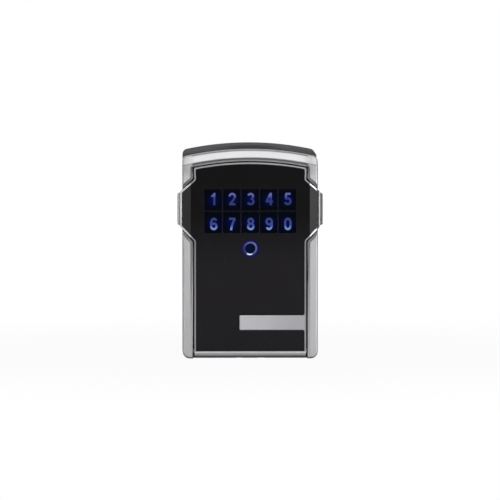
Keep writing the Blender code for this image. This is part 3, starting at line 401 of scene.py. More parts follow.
def shadeRim(tree, look, colour, front):
    # Painted shade: the rim's outer edge is dark along the sides, and its inner edge along the arch
    edges = useGroup(tree, edgeLean, Turn=look["turn"], Spread=look["spread"])
    arch = heightShare(tree, *look["arch"])
    outer = maths(tree, "MAXIMUM", boxFade(tree, look["sides"], look["margin"]),
                  maths(tree, "MULTIPLY", arch, look["archShare"]))
    shade = maths(tree, "MAXIMUM", maths(tree, "MULTIPLY", edges["Outward"], outer),
                  maths(tree, "MULTIPLY", edges["Inward"], arch))
    return mixColours(tree, maths(tree, "MULTIPLY", shade, front), colour, look["colour"])


def coatedCasting(name, look):
    # A sprayed zinc casting: base colour, flakes, painted shade and dust in gaps, and rubbed edges
    material, tree, shader = newMaterial(name, {
        "Specular IOR Level": look["specular"],
        "Coat Weight": look["coat"],
        "Coat Roughness": look["coatRoughness"],
    })
    grain = useGroup(tree, paintGrain, Size=look["grainSize"], Drift=look["drift"])
    dustAndShade = useGroup(tree, creviceDirt, Reach=look["dirtReach"], Amount=look["dirtAmount"])
    wear = useGroup(tree, edgeWear, Radius=look["wearRadius"], Amount=look["wearAmount"])
    touch = useGroup(tree, handling, Smear=look["smear"], Scratch=look["scratch"])
    fleck = maths(tree, "MULTIPLY", grain["Fleck"], look["fleck"])
    tone = maths(tree, "ADD", maths(tree, "ADD", grain["Tone"], fleck), 1.0)
    front = facingFront(tree)
    if "crown" in look:
        front = maths(tree, "MULTIPLY", front, heightShare(tree, *look["crown"]))
    for axis, levels in look.get("uneven", {}).items():
        # Painted light and shade along one axis; only the faces that look forward have these tones
        levelled = toneBy(tree, coordinate(tree, axis), levels)
        tone = product(tree, tone, onlyWhere(tree, levelled, front))
    colour = scaleColour(tree, look["colour"], tone)
    if "plaque" in look:
        colour = lightenPlaque(tree, look["plaque"], colour)
    if "bevel" in look:
        colour = shadeBevel(tree, look["bevel"], colour, dustAndShade, front)
    if "rim" in look:
        colour = shadeRim(tree, look["rim"], colour, front)
    worn = mixColours(tree, wear["Mask"], colour, look["wornColour"])
    # Painted shade and dust in gaps; deep in narrow gaps the painted shade is near black
    dustyAndShaded = mixColours(tree, dustAndShade["Mask"], worn, look["dirtColour"])
    shine = maths(tree, "SUBTRACT", 1.0, dustAndShade["Deep"])
    rough = maths(tree, "ADD", touch["Roughness"], look["roughness"])
    feed(tree, shader, {
        "Base Color": mixColours(tree, dustAndShade["Deep"], dustyAndShaded, look["gapColour"]),
        "Metallic": maths(tree, "MULTIPLY", shine, look["metallic"]),
        "Roughness": maths(tree, "MULTIPLY_ADD", dustAndShade["Mask"], 0.25, rough),
    })
    addBump(tree, shader, grain["Height"], look["grainDepth"], look["grainStrength"])
    return material


bezelLook = {
    "colour": (0.47, 0.462, 0.475, 1.0),
    "wornColour": (0.62, 0.62, 0.635, 1.0),
    "dirtColour": (0.12, 0.115, 0.12, 1.0),
    "gapColour": (0.004, 0.0038, 0.004, 1.0),
    "metallic": 0.75,
    "specular": 0.5,
    "coat": 0.0,
    "coatRoughness": 0.3,
    "roughness": 0.42,
    "grainSize": 0.35 * mm,
    "grainDepth": 0.01 * mm,
    "grainStrength": 0.25,
    "fleck": 0.05,
    "drift": 0.04,
    "dirtReach": 3.0 * mm,
    "dirtAmount": 0.6,
    "wearRadius": 0.25 * mm,
    "wearAmount": 0.4,
    "smear": 0.04,
    "scratch": 0.06,
    "crown": (104 * mm, 107 * mm),
    # Painted light and shade: the rails and brow are lighter or darker across the front
    "uneven": {"X": [(-41.5, 0.8), (-37, 0.78), (-33.5, 0.9), (-31, 1.0), (30, 1.0), (32.5, 0.85), (35, 0.75),
                     (38, 0.9), (41.5, 0.95)]},
    # Painted shade on the bevel round the door, painted light near its gap, a painted shade line on the brow,
    # and painted light and shade across the arch
    "bevel": {
        "colour": (0.17, 0.167, 0.172, 1.0),
        "rubbedColour": (0.74, 0.73, 0.75, 1.0),
        "facet": (Vector((33.2, 0, -10)) * mm, Vector((34.5, 0, 104)) * mm),
        "facetSoft": 0.3 * mm,
        "steepness": 0.3,
        "turn": 0.1,
        "spread": 0.9 * mm,
        "least": 0.12,
        "high": 70 * mm,
        "rubbed": (0.07, 0.3),
        "lineColour": (0.23, 0.227, 0.235, 1.0),
        "brow": (104 * mm, 107 * mm),
        "endAside": (37.0 * mm, 38.6 * mm),
        "endHeight": (110.6 * mm, 112.2 * mm),
        "archCentre": (0.0, 0.0, -52.4 * mm),
        "archAside": (34.0 * mm, 32.5 * mm),
        "archTones": [(165.2, 0.05), (165.45, 0.05), (165.55, 1.7), (166.1, 1.6), (166.55, 1.5), (166.7, 0.3),
                      (167.2, 0.3), (167.35, 0.8), (167.7, 0.85), (168.0, 1.05), (168.3, 1.0), (170.8, 1.0),
                      (171.1, 0.9), (171.25, 0.5), (171.7, 0.45), (172.0, 0.6)],
    },
}

plainCoat = {key: value for key, value in bezelLook.items() if key not in ("bevel", "crown", "uneven")}
doorLook = dict(
    plainCoat,
    colour=(0.46, 0.452, 0.466, 1.0),
    metallic=0.9,
    roughness=0.3,
    dirtReach=1.2 * mm,
    dirtAmount=0.7,
    # Painted light and shade: a highlight and a dark lower edge on the bottom bar, a lighter top, and dark
    # lines along the right side
    uneven={
        "Z": [(0.2, 0.02), (0.9, 0.25), (1.2, 0.5), (1.8, 0.95), (2.4, 1.6), (2.9, 1.75), (3.5, 1.95),
              (3.8, 1.95), (3.95, 1.02), (4.6, 1.02), (5.2, 0.92), (20, 0.88), (50, 0.74), (80, 0.64),
              (98, 0.64), (107, 1.1), (112.3, 1.25)],
        "X": [(-41.5, 1.0), (-39.9, 1.0), (-39.6, 1.1), (-38.5, 1.1), (-38, 1.0), (38.1, 1.0), (38.15, 0.1),
              (39.32, 0.05), (39.44, 0.75), (39.85, 0.75), (39.93, 0.3), (40.2, 0.24), (40.6, 0.2),
              (41.5, 0.24)],
    },
    # Painted shade along the rim's edges
    rim={
        "colour": (0.04, 0.039, 0.04, 1.0),
        "turn": 0.1,
        "spread": 0.42 * mm,
        "sides": (Vector((-36.5, 0, 3.4)) * mm, Vector((36.5, 0, 105.6)) * mm),
        "margin": 1.0 * mm,
        "arch": (104.5 * mm, 105.5 * mm),
        "archShare": 0.45,
    },
    # The tongue's lighter tone, and painted light towards its left end
    plaque={
        "leftColour": (0.70, 0.695, 0.72, 1.0),
        "colour": (0.53, 0.525, 0.56, 1.0),
        "left": -6.1 * mm,
        "right": 31.2 * mm,
        "low": 16.3 * mm,
        "high": 24.7 * mm,
    },
)

charcoalLook = dict(
    plainCoat,
    colour=(0.046, 0.046, 0.049, 1.0),
    wornColour=(0.11, 0.11, 0.115, 1.0),
    dirtColour=(0.03, 0.029, 0.028, 1.0),
    gapColour=(0.02, 0.019, 0.019, 1.0),
    metallic=0.0,
    specular=0.1,
    roughness=0.68,
    grainSize=0.7 * mm,
    grainDepth=0.04 * mm,
    grainStrength=0.5,
    fleck=0.1,
    drift=0.1,
    dirtReach=3.0 * mm,
    dirtAmount=0.5,
    wearRadius=0.4 * mm,
    wearAmount=0.6,
    smear=0.06,
    scratch=0.05,
    crown=(104 * mm, 108 * mm),
    # Painted light: the top band is lighter towards its two ends
    uneven={"X": [(-41.5, 1.5), (-33, 1.75), (-24, 1.85), (-16, 1.55), (-9, 1.1), (-5, 1.0), (5, 1.0),
                  (9, 1.1), (16, 1.5), (24, 1.7), (32, 1.5), (36, 1.4), (41.5, 1.35)]},
)

bezelCoat = coatedCasting("bezelCoat", bezelLook)
doorCoat = coatedCasting("doorCoat", doorLook)
charcoalCoat = coatedCasting("charcoalCoat", charcoalLook)


fasciaLook = {
    "colour": (0.0028, 0.0023, 0.0028, 1.0),
    # Colour of the painted reflection on the lower face, and the heights over which it fades
    "dustColour": (0.0105, 0.0095, 0.0115, 1.0),
    "dustLow": 52 * mm,
    "dustHigh": 82 * mm,
    "specular": 0.14,
    "roughness": 0.24,
    "smear": 0.02,
    "scratch": 0.03,
    "grainSize": 0.9 * mm,
    "grainDepth": 0.02 * mm,
    "drift": 0.25,
    "dirtColour": grey(0.0015),
    "dirtReach": 1.5 * mm,
    "dirtAmount": 0.5,
    "haloColour": (0.001, 0.001, 0.002, 1.0),
    "glow": (0.001, 0.0025, 0.052, 1.0),
    "glowReach": 2.5 * mm,
    "keypadGlow": (0.0010, 0.0018, 0.019, 1.0),
    "keypadSoft": 1.2 * mm,
    "rowGap": (0.9 * mm, 2.2 * mm),
}


def makeFascia(look):
    low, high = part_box("light_ring")
    centre = (low + high) / 2
    centre.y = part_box("fascia_panel")[0].y
    ring = (high.x - low.x) / 2
    material, tree, shader = newMaterial("glossBlackMoulding", {
        "Specular IOR Level": look["specular"],
        "Emission Strength": 1.0,
    })
    grain = useGroup(tree, paintGrain, Size=look["grainSize"], Drift=look["drift"])
    touch = useGroup(tree, handling, Smear=look["smear"], Scratch=look["scratch"])
    dustAndShade = useGroup(tree, creviceDirt, Reach=look["dirtReach"], Amount=look["dirtAmount"])
    # Painted reflection: a lighter, mottled film on the face, more of it below the keypad
    filmAndReflection = maths(tree, "MULTIPLY", heightShare(tree, look["dustHigh"], look["dustLow"]),
                 maths(tree, "ADD", grain["Tone"], 0.9), clamp=True)
    withReflection = mixColours(tree, filmAndReflection, look["colour"], look["dustColour"])
    # Light that bleeds out round the ring and between the columns of keys
    fade = radialFade(tree, centre, ring * 0.7, ring * 0.76 + look["glowReach"])
    halo = mixColours(tree, fade, grey(0.0), look["glow"])
    withReflection = mixColours(tree, fade, withReflection, look["haloColour"])
    low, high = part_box("keypad_mat")
    offRow = smoothStep(tree, fromMiddle(tree, "Z", (low.z + high.z) / 2), *look["rowGap"])
    keypad = maths(tree, "MULTIPLY", boxFade(tree, (low, high), look["keypadSoft"]), offRow)
    # Painted shade and dust darken the base colour in gaps
    feed(tree, shader, {
        "Base Color": mixColours(tree, dustAndShade["Mask"], withReflection, look["dirtColour"]),
        "Roughness": maths(tree, "ADD", touch["Roughness"], look["roughness"]),
        "Emission Color": mixColours(tree, keypad, halo, look["keypadGlow"]),
    })
    addBump(tree, shader, grain["Height"], look["grainDepth"], 0.05)
    return material


glossBlack = makeFascia(fasciaLook)

keyLook = {
    "colour": (0.0003, 0.0006, 0.0016, 1.0),
    "filmColour": (0.0012, 0.0014, 0.002, 1.0),
    "specular": 0.02,
    "roughness": 0.3,
    "smear": 0.1,
    "scratch": 0.08,
    "scratchDepth": 0.01 * mm,
    "dimGlow": (0.0001, 0.0010, 0.0045, 1.0),
    "glow": (0.0, 0.0018, 0.048, 1.0),
    "glowFrom": 0.9 * mm,
    "glowReach": 4.6 * mm,
}


def makeKey(name, look):
    # One material per key, because the light that bleeds through is centred on its digit
    low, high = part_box(name)
    centre = (low + high) / 2
    centre.y = low.y
    material, tree, shader = newMaterial("blackKey_" + name, {
        "Specular IOR Level": look["specular"],
        "Emission Strength": 1.0,
    })
    touch = useGroup(tree, handling, Smear=look["smear"], Scratch=look["scratch"])
    filmAndReflection = maths(tree, "MULTIPLY", touch["Roughness"], 0.5, clamp=True)
    fade = radialFade(tree, centre, look["glowFrom"], look["glowReach"])
    feed(tree, shader, {
        "Base Color": mixColours(tree, filmAndReflection, look["colour"], look["filmColour"]),
        "Roughness": maths(tree, "ADD", touch["Roughness"], look["roughness"]),
        "Emission Color": mixColours(tree, fade, look["dimGlow"], look["glow"]),
    })
    addBump(tree, shader, touch["Height"], look["scratchDepth"], 0.1)
    return material


keyNames = sorted(name for name in nodes if name.startswith("key_"))
keyMaterials = {name: makeKey(name, keyLook) for name in keyNames}
# The button is dark in the middle and takes light from the ring at its edge
buttonLook = dict(
    keyLook,
    dimGlow=(0.0, 0.004, 0.036, 1.0),
    glow=(0.0005, 0.005, 0.010, 1.0),
    glowFrom=0.6 * mm,
    glowReach=2.2 * mm,
)
buttonBlack = makeKey("wake_button", buttonLook)


def litPlastic(name, strength):
    return newMaterial(name, {
        "Roughness": 0.4,
        "Specular IOR Level": 0.06,
        "Base Color": (0.003, 0.003, 0.009, 1.0),
        "Emission Strength": strength,
    })


keypadLow = min(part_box(name)[0].z for name in keyNames)
keypadHigh = max(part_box(name)[1].z for name in keyNames)
keypadMiddle = (keypadLow + keypadHigh) / 2

digitLook = {
    "height": 7.1 * mm,
    "stroke": 1.22 * mm,
    "shift": 0.3 * mm,
    "topRise": 0.55 * mm,
    "lowDrop": 0.8 * mm,
    "proud": 0.06 * mm,
    "sunk": 0.05 * mm,
    "topRow": [
        (0.0, (0.036, 0.040, 0.105, 1.0)),
        (0.3, (0.028, 0.034, 0.135, 1.0)),
        (0.58, (0.022, 0.032, 0.20, 1.0)),
        (0.78, (0.10, 0.112, 0.38, 1.0)),
        (1.0, (0.105, 0.125, 0.37, 1.0)),
    ],
    "lowRow": [
        (0.0, (0.20, 0.29, 0.57, 1.0)),
        (0.2, (0.14, 0.21, 0.48, 1.0)),
        (0.38, (0.036, 0.064, 0.30, 1.0)),
        (0.62, (0.032, 0.054, 0.26, 1.0)),
        (0.75, (0.038, 0.05, 0.165, 1.0)),
        (1.0, (0.04, 0.052, 0.165, 1.0)),
    ],
}


def digitCentre(keyName):
    low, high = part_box(keyName)
    centre = (low + high) / 2
    centre.x += digitLook["shift"]
    centre.z += digitLook["topRise"] if centre.z > keypadMiddle else -digitLook["lowDrop"]
    return centre


def rowMaterial(name, keyName, stops):
    # Lit from behind, so colour and brightness change with height
    middle = digitCentre(keyName).z
    half = digitLook["height"] / 2
    material, tree, shader = litPlastic(name, 1.0)
    mottle = maths(tree, "MULTIPLY", maths(tree, "SUBTRACT", noise(tree, 900.0), 0.5), 0.1)
    share = maths(tree, "ADD", heightShare(tree, middle - half, middle + half), mottle, clamp=True)
    feed(tree, shader, {"Emission Color": ramp(tree, share, stops)})
    return material


digitTop = rowMaterial("litDigitTopRow", "key_1", digitLook["topRow"])
digitLow = rowMaterial("litDigitLowRow", "key_0", digitLook["lowRow"])

ringLook = {
    "strength": 1.3,
    "shift": 0.3 * mm,
    "outerColour": (0.012, 0.013, 0.06, 1.0),
    # Place from the middle of the ring, inner and outer radius, all in millimetres, and colour
    "lights": [
        ((0.0, 0.0, 0.0), 3.2, 4.02, (0.092, 0.092, 0.27, 1.0)),
        ((2.2, 0.0, 2.4), 0.0, 2.4, (0.125, 0.116, 0.32, 1.0)),
        ((-3.3, 0.0, 0.0), 0.0, 2.2, (0.020, 0.027, 0.105, 1.0)),
        ((0.0, 0.0, 0.0), 2.5, 3.0, (0.010, 0.018, 0.085, 1.0)),
    ],
    "flashColour": (0.70, 0.76, 1.0, 1.0),
    "flashAt": (-0.6 * mm, 0.0, -3.2 * mm),
    "flashStretch": (1.75, 1.0, 0.85),
}


def makeRing(look):
    # A pale ring with soft edges, dimmer at the left, and a small painted highlight at its foot
    low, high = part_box("light_ring")
    centre = Vector((look["shift"], low.y, (low.z + high.z) / 2 + look["shift"]))
    material, tree, shader = litPlastic("litRing", look["strength"])
    colour = look["outerColour"]
    for place, inner, outer, light in look["lights"]:
        fade = radialFade(tree, centre + Vector(place) * mm, inner * mm, outer * mm)
        colour = mixColours(tree, fade, colour, light)
    highlight = radialFade(tree, centre + Vector(look["flashAt"]), 0.5 * mm, 1.2 * mm, look["flashStretch"])
    highlight = maths(tree, "MULTIPLY", highlight, maths(tree, "MULTIPLY_ADD", noise(tree, 900.0), 0.2, 0.9))
    feed(tree, shader, {"Emission Color": mixColours(tree, highlight, colour, look["flashColour"])})
    return material


litRing = makeRing(ringLook)


def scaled(colour, share):
    return tuple(min(1.0, level * share) for level in colour[:3]) + (1.0,)


plasticWear = {
    "drift": 0.2,
    "smear": 0.1,
    "scratch": 0.1,
    "dirtReach": 2.0 * mm,
    "dirtAmount": 0.45,
    "dirtTone": 0.35,
    "wearRadius": 0.2 * mm,
    "wearAmount": 0.35,
    "wearTone": 2.2,
}
metalWear = {
    "smear": 0.12,
    "scratch": 0.12,
    "dirtReach": 1.0 * mm,
    "dirtAmount": 0.6,
    "dirtTone": 0.2,
    "lineTone": 0.25,
    "lineDepth": 0.012 * mm,
}


def mouldedPlastic(name, colour, roughness, grainSize, grainDepth, look=plasticWear):
    material, tree, shader = newMaterial(name, {"Specular IOR Level": 0.4})
    grain = useGroup(tree, paintGrain, Size=grainSize, Drift=look["drift"])
    touch = useGroup(tree, handling, Smear=look["smear"], Scratch=look["scratch"])
    dustAndShade = useGroup(tree, creviceDirt, Reach=look["dirtReach"], Amount=look["dirtAmount"])
    wear = useGroup(tree, edgeWear, Radius=look["wearRadius"], Amount=look["wearAmount"])
    toned = scaleColour(tree, colour, maths(tree, "ADD", grain["Tone"], 1.0))
    rubbed = mixColours(tree, wear["Mask"], toned, scaled(colour, look["wearTone"]))
    # Painted shade and dust darken the base colour in gaps
    feed(tree, shader, {
        "Base Color": mixColours(tree, dustAndShade["Mask"], rubbed, scaled(colour, look["dirtTone"])),
        "Roughness": maths(tree, "ADD", touch["Roughness"], roughness),
    })
    addBump(tree, shader, grain["Height"], grainDepth, 0.6)
    return material


def bareMetal(name, colour, roughness, across, look=metalWear):
    material, tree, shader = newMaterial(name, {"Metallic": 1.0})
    lines = useGroup(tree, drawnLines, Across=across)
    touch = useGroup(tree, handling, Smear=look["smear"], Scratch=look["scratch"])
    dustAndShade = useGroup(tree, creviceDirt, Reach=look["dirtReach"], Amount=look["dirtAmount"])
    toned = scaleColour(tree, colour, maths(tree, "MULTIPLY_ADD", lines["Tone"], look["lineTone"], 1.0))
    # Painted shade and dust darken the base colour in gaps
    feed(tree, shader, {
        "Base Color": mixColours(tree, dustAndShade["Mask"], toned, scaled(colour, look["dirtTone"])),
        "Roughness": maths(tree, "ADD", touch["Roughness"], roughness),
    })
    addBump(tree, shader, lines["Height"], look["lineDepth"], 0.35)
    return material


chipPlastic = mouldedPlastic("chipPlastic", (0.016, 0.016, 0.017, 1.0), 0.45, 0.2 * mm, 0.01 * mm)
cellSleeve = mouldedPlastic("cellSleeve", (0.60, 0.61, 0.64, 1.0), 0.28, 2.0 * mm, 0.01 * mm)
matRubber = mouldedPlastic("matRubber", (0.03, 0.03, 0.036, 1.0), 0.72, 0.5 * mm, 0.02 * mm)
sealRubber = mouldedPlastic("sealRubber", (0.018, 0.018, 0.018, 1.0), 0.78, 0.4 * mm, 0.02 * mm)
darkPlastic = mouldedPlastic("darkPlastic", (0.03, 0.03, 0.033, 1.0), 0.5, 0.45 * mm, 0.03 * mm)
zincSteel = bareMetal("zincSteel", (0.56, 0.56, 0.58, 1.0), 0.28, (300.0, 300.0, 1800.0))
darkSteel = bareMetal("darkSteel", (0.10, 0.10, 0.105, 1.0), 0.4, (900.0, 300.0, 900.0))
motorSteel = bareMetal("motorSteel", (0.50, 0.50, 0.515, 1.0), 0.3, (60.0, 2600.0, 2600.0))
turnedBrass = bareMetal("turnedBrass", (0.70, 0.52, 0.25, 1.0), 0.27, (900.0, 900.0, 2600.0))


laminateLook = {
    "maskColour": (0.012, 0.075, 0.032, 1.0),
    "trackColour": (0.03, 0.15, 0.06, 1.0),
    "tinColour": (0.42, 0.42, 0.40, 1.0),
    "tracksPerMetre": 260.0,
    "trackWidth": 0.018,
    "trackHeight": 0.03 * mm,
    "padsPerMetre": 330.0,
    "padDisorder": 0.35,
    "padEdge": (0.16, 0.12),
    "padMetallic": 0.9,
    "roughness": 0.3,
    "smear": 0.1,
    "scratch": 0.05,
}


def makeLaminate(look):
    # Green solder mask over tracks, with tinned pads
    material, tree, shader = newMaterial("boardLaminate", {"Specular IOR Level": 0.5})
    flat = addNode(tree, "ShaderNodeMapping", {
        "Vector": objectPlace(tree), "Rotation": (math.pi / 2, 0.0, 0.0)}).outputs[0]
    tracks = addNode(tree, "ShaderNodeTexBrick", {
        "Vector": flat, "Scale": look["tracksPerMetre"], "Mortar Size": look["trackWidth"],
        "Mortar Smooth": 0.1}, offset_frequency=3).outputs["Fac"]
    pads = addNode(tree, "ShaderNodeTexVoronoi", {
        "Vector": flat, "Scale": look["padsPerMetre"], "Randomness": look["padDisorder"]}, feature="F1")
    spot = smoothStep(tree, pads.outputs["Distance"], *look["padEdge"])
    touch = useGroup(tree, handling, Smear=look["smear"], Scratch=look["scratch"])
    green = mixColours(tree, tracks, look["maskColour"], look["trackColour"])
    feed(tree, shader, {
        "Base Color": mixColours(tree, spot, green, look["tinColour"]),
        "Roughness": maths(tree, "ADD", touch["Roughness"], look["roughness"]),
        "Metallic": maths(tree, "MULTIPLY", spot, look["padMetallic"]),
    })
    addBump(tree, shader, tracks, look["trackHeight"], 0.5)
    return material


finishOfSlot = {
    "charcoal_casting": charcoalCoat,
    "silver_casting": bezelCoat,
    "gloss_black": glossBlack,
    "key_black": buttonBlack,
    "light_guide": litRing,
    "mat_rubber": matRubber,
    "seal_rubber": sealRubber,
    "dark_plastic": darkPlastic,
    "board_laminate": makeLaminate(laminateLook),
    "cell_sleeve": cellSleeve,
    "motor_steel": motorSteel,
    "steel": zincSteel,
    "brass": turnedBrass,
}
finishOfNode = {"door_frame": doorCoat, **keyMaterials}
print("finishes ready")

# Rounds the sharp edges of the frame's own pieces, grouped by their radius in millimetres
edgeGroups = {
    0.05: ["drive_pinion"],
    0.06: ["circuit_board"],
    0.08: ["fascia_panel", "battery_contact"],
    0.1: ["door_frame", "keypad_mat", "light_ring", "wake_switch"],
    0.12: ["rear_housing", "strike_plate"],
    0.14: ["front_bezel"],
    0.15: ["latch_bolt"],
    0.18: ["inner_cover"],
    0.2: ["battery_holder", "latch_guide", "motor_saddle", "wake_button", "hinge_pin", "jump_contact_1",
          "jump_contact_2"] + keyNames,
    0.25: ["battery_cover"],
    0.3: ["door_gasket"],
}
edgeRadius = {name: radius * mm for radius, names in edgeGroups.items() for name in names}
edgeRule = {
    "sharp": math.radians(32),
    "flat": math.radians(0.3),
    "weld": 0.002 * mm,
    "near": 0.003 * mm,
    "room": 2.1,
}


def sharpEdges(mesh, radius):
    # Sharp edges with room for the radius, and those without, once the flat faces' inner edges are gone
    work = bmesh.new()
    work.from_mesh(mesh)
    bmesh.ops.remove_doubles(work, verts=work.verts, dist=edgeRule["weld"])
    bmesh.ops.dissolve_limit(work, angle_limit=edgeRule["flat"], verts=work.verts, edges=work.edges)
    shortest = {vert: min(edge.calc_length() for edge in vert.link_edges)
                for vert in work.verts if vert.link_edges}
    rounded = []
    crisp = []
    for edge in work.edges:
        if len(edge.link_faces) == 2 and edge.calc_face_angle(0) > edgeRule["sharp"]:
            room = min(shortest[vert] for vert in edge.verts) > radius * edgeRule["room"]
            (rounded if room else crisp).append((edge.verts[0].co.copy(), edge.verts[1].co.copy()))
    work.free()
    return rounded, crisp


def liesOn(points, start, end):
    run = end - start
    way = run.normalized()
    for point in points:
        offset = point - start
        along = offset.dot(way)
        if along < -edgeRule["near"] or along > run.length + edgeRule["near"]:
            return False
        if (offset - way * along).length > edgeRule["near"]:
            return False
    return True


def markEdges(mesh, chosen, attribute, kind):
    if not chosen:
        return
    middles = KDTree(len(chosen))
    for index, (start, end) in enumerate(chosen):
        middles.insert((start + end) / 2, index)
    middles.balance()
    reach = max((end - start).length for start, end in chosen) / 2 + edgeRule["near"]
    marks = mesh.attributes.get(attribute) or mesh.attributes.new(attribute, kind, "EDGE")
    for edge in mesh.edges:
        points = [mesh.vertices[index].co for index in edge.vertices]
        near = middles.find_range((points[0] + points[1]) / 2, reach)
        marks.data[edge.index].value = any(liesOn(points, *chosen[index]) for place, index, gap in near)


def addModifier(obj, name, kind, **settings):
    modifier = obj.modifiers.new(name, kind)
    for setting, value in settings.items():
        setattr(modifier, setting, value)


def roundEdges(obj, radius):
    rounded, crisp = sharpEdges(obj.data, radius)
    markEdges(obj.data, rounded, "bevel_weight_edge", "FLOAT")
    markEdges(obj.data, crisp, "sharp_edge", "BOOLEAN")
    addModifier(obj, "weld", "WELD", merge_threshold=edgeRule["weld"])
    addModifier(obj, "flat", "DECIMATE", decimate_type="DISSOLVE", angle_limit=edgeRule["flat"])
    addModifier(obj, "edge", "BEVEL", width=radius, segments=2, limit_method="WEIGHT",
                use_clamp_overlap=False)
    addModifier(obj, "even", "WEIGHTED_NORMAL", keep_sharp=True)


for name, node in nodes.items():
    node.data.materials.clear()
    node.data.materials.append(finishOfNode.get(name) or finishOfSlot[slotOfNode[name]])
    if name in edgeRadius:
        roundEdges(node, edgeRadius[name])
print("frame pieces finished")


# Small helpers for the pieces made here, which are drawn in millimetres
def addObject(name, data):
    obj = bpy.data.objects.new(name, data)
    bpy.context.scene.collection.objects.link(obj)
    return obj


def smoothFaces(mesh, degrees):
    mesh.shade_smooth()
    mesh.set_sharp_from_angle(angle=math.radians(degrees))


def placePiece(name, work, material, body, replaced=(), smooth=None):
    bmesh.ops.recalc_face_normals(work, faces=work.faces)
    mesh = bpy.data.meshes.new(name)
    work.to_mesh(mesh)
    work.free()
    mesh.materials.append(material)
    obj = addObject(name, mesh)
    if smooth:
        smoothFaces(mesh, smooth)
    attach(obj, body)
    if replaced:
        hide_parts(*replaced)
    return obj


def boxOf(name):
    return [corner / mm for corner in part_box(name)]


def placeAt(point, axis):
    # Takes a shape drawn along +Z to its foot's place, so that it runs along the given axis
    turn = Vector((0, 0, 1)).rotation_difference(Vector(axis)).to_matrix().to_4x4()
    return Matrix.Translation(Vector(point) * mm) @ turn @ Matrix.Scale(mm, 4)


def ringSurface(work, rings, place):
    # Joins rings of points into one closed skin; a ring of one point is an end
    made = [[work.verts.new(place @ Vector(point)) for point in ring] for ring in rings]
    for below, above in zip(made, made[1:]):
        count = max(len(below), len(above))
        for index in range(count):
            after = (index + 1) % count
            corners = [below[index % len(below)], below[after % len(below)],
                       above[after % len(above)], above[index % len(above)]]
            work.faces.new(list(dict.fromkeys(corners)))


def closedRings(rings, place):
    # A skin over rings of points, with one flat face at each end
    work = bmesh.new()
    ringSurface(work, rings, place)
    work.verts.ensure_lookup_table()
    count = len(rings[0])
    for first in (0, len(work.verts) - count):
        work.faces.new([work.verts[first + index] for index in range(count)])
    return work


def circle(radius, height, sides, wave=0.0, waves=0):
    if radius == 0:
        return [(0.0, 0.0, height)]
    points = []
    for index in range(sides):
        angle = 2 * math.pi * index / sides
        size = radius + wave * (0.5 + 0.5 * math.cos(waves * angle))
        points.append((size * math.cos(angle), size * math.sin(angle), height))
    return points


def circles(profile, sides):
    return [circle(radius, height, sides) for radius, height in profile]


def turned(profile, sides, place, work=None):
    # A turned shape from (radius, height) pairs that begin and end on the axis
    work = work or bmesh.new()
    ringSurface(work, circles(profile, sides), place)
    return work


def softBox(work, low, high, radius, segments=2):
    # A block with rounded edges
    made = bmesh.ops.create_cube(work, size=1.0)["verts"]
    centre = (Vector(low) + Vector(high)) / 2
    size = Vector(high) - Vector(low)
    for vert in made:
        vert.co = (centre + Vector(a * b for a, b in zip(vert.co, size))) * mm
    edges = list({edge for vert in made for edge in vert.link_edges})
    bmesh.ops.bevel(work, geom=edges, offset=radius * mm, segments=segments, profile=0.5, affect="EDGES")


def cutAway(obj, cutter):
    # Cuts one closed shape out of another and keeps the result as the piece's mesh
    tool = addObject("cutter", bpy.data.meshes.new("cutter"))
    cutter.to_mesh(tool.data)
    cutter.free()
    addModifier(obj, "cut", "BOOLEAN", operation="DIFFERENCE", solver="EXACT", object=tool)
    bpy.context.view_layer.update()
    graph = bpy.context.evaluated_depsgraph_get()
    obj.data = bpy.data.meshes.new_from_object(obj.evaluated_get(graph), depsgraph=graph)
    obj.modifiers.clear()
    bpy.data.objects.remove(tool)


# Lit digits, each a thin plate set in its key. Strokes are drawn in a cell 1 high and this wide.
cellWidth = 0.62


def arc(centreX, centreY, radiusX, radiusY, fromDegrees, toDegrees, steps=22):
    points = []
    for step in range(steps + 1):
        angle = math.radians(fromDegrees + (toDegrees - fromDegrees) * step / steps)
        points.append((centreX + radiusX * math.cos(angle), centreY + radiusY * math.sin(angle)))
    return points


def squareOval(centreX, centreY, radiusX, radiusY, power, steps=40):
    points = []
    for step in range(steps):
        angle = 2 * math.pi * step / steps
        across, up = math.cos(angle), math.sin(angle)
        points.append((centreX + radiusX * math.copysign(abs(across) ** (2 / power), across),
                       centreY + radiusY * math.copysign(abs(up) ** (2 / power), up)))
    return points


def bowedLine(start, bend, end, steps=14):
    points = []
    for step in range(steps + 1):
        share = step / steps
        weights = ((1 - share) ** 2, 2 * share * (1 - share), share ** 2)
        points.append(tuple(sum(w * v for w, v in zip(weights, values)) for values in zip(start, bend, end)))
    return points


def oval(centreX, centreY, radiusX, radiusY):
    return arc(centreX, centreY, radiusX, radiusY, 0, 360, 36)[:-1]


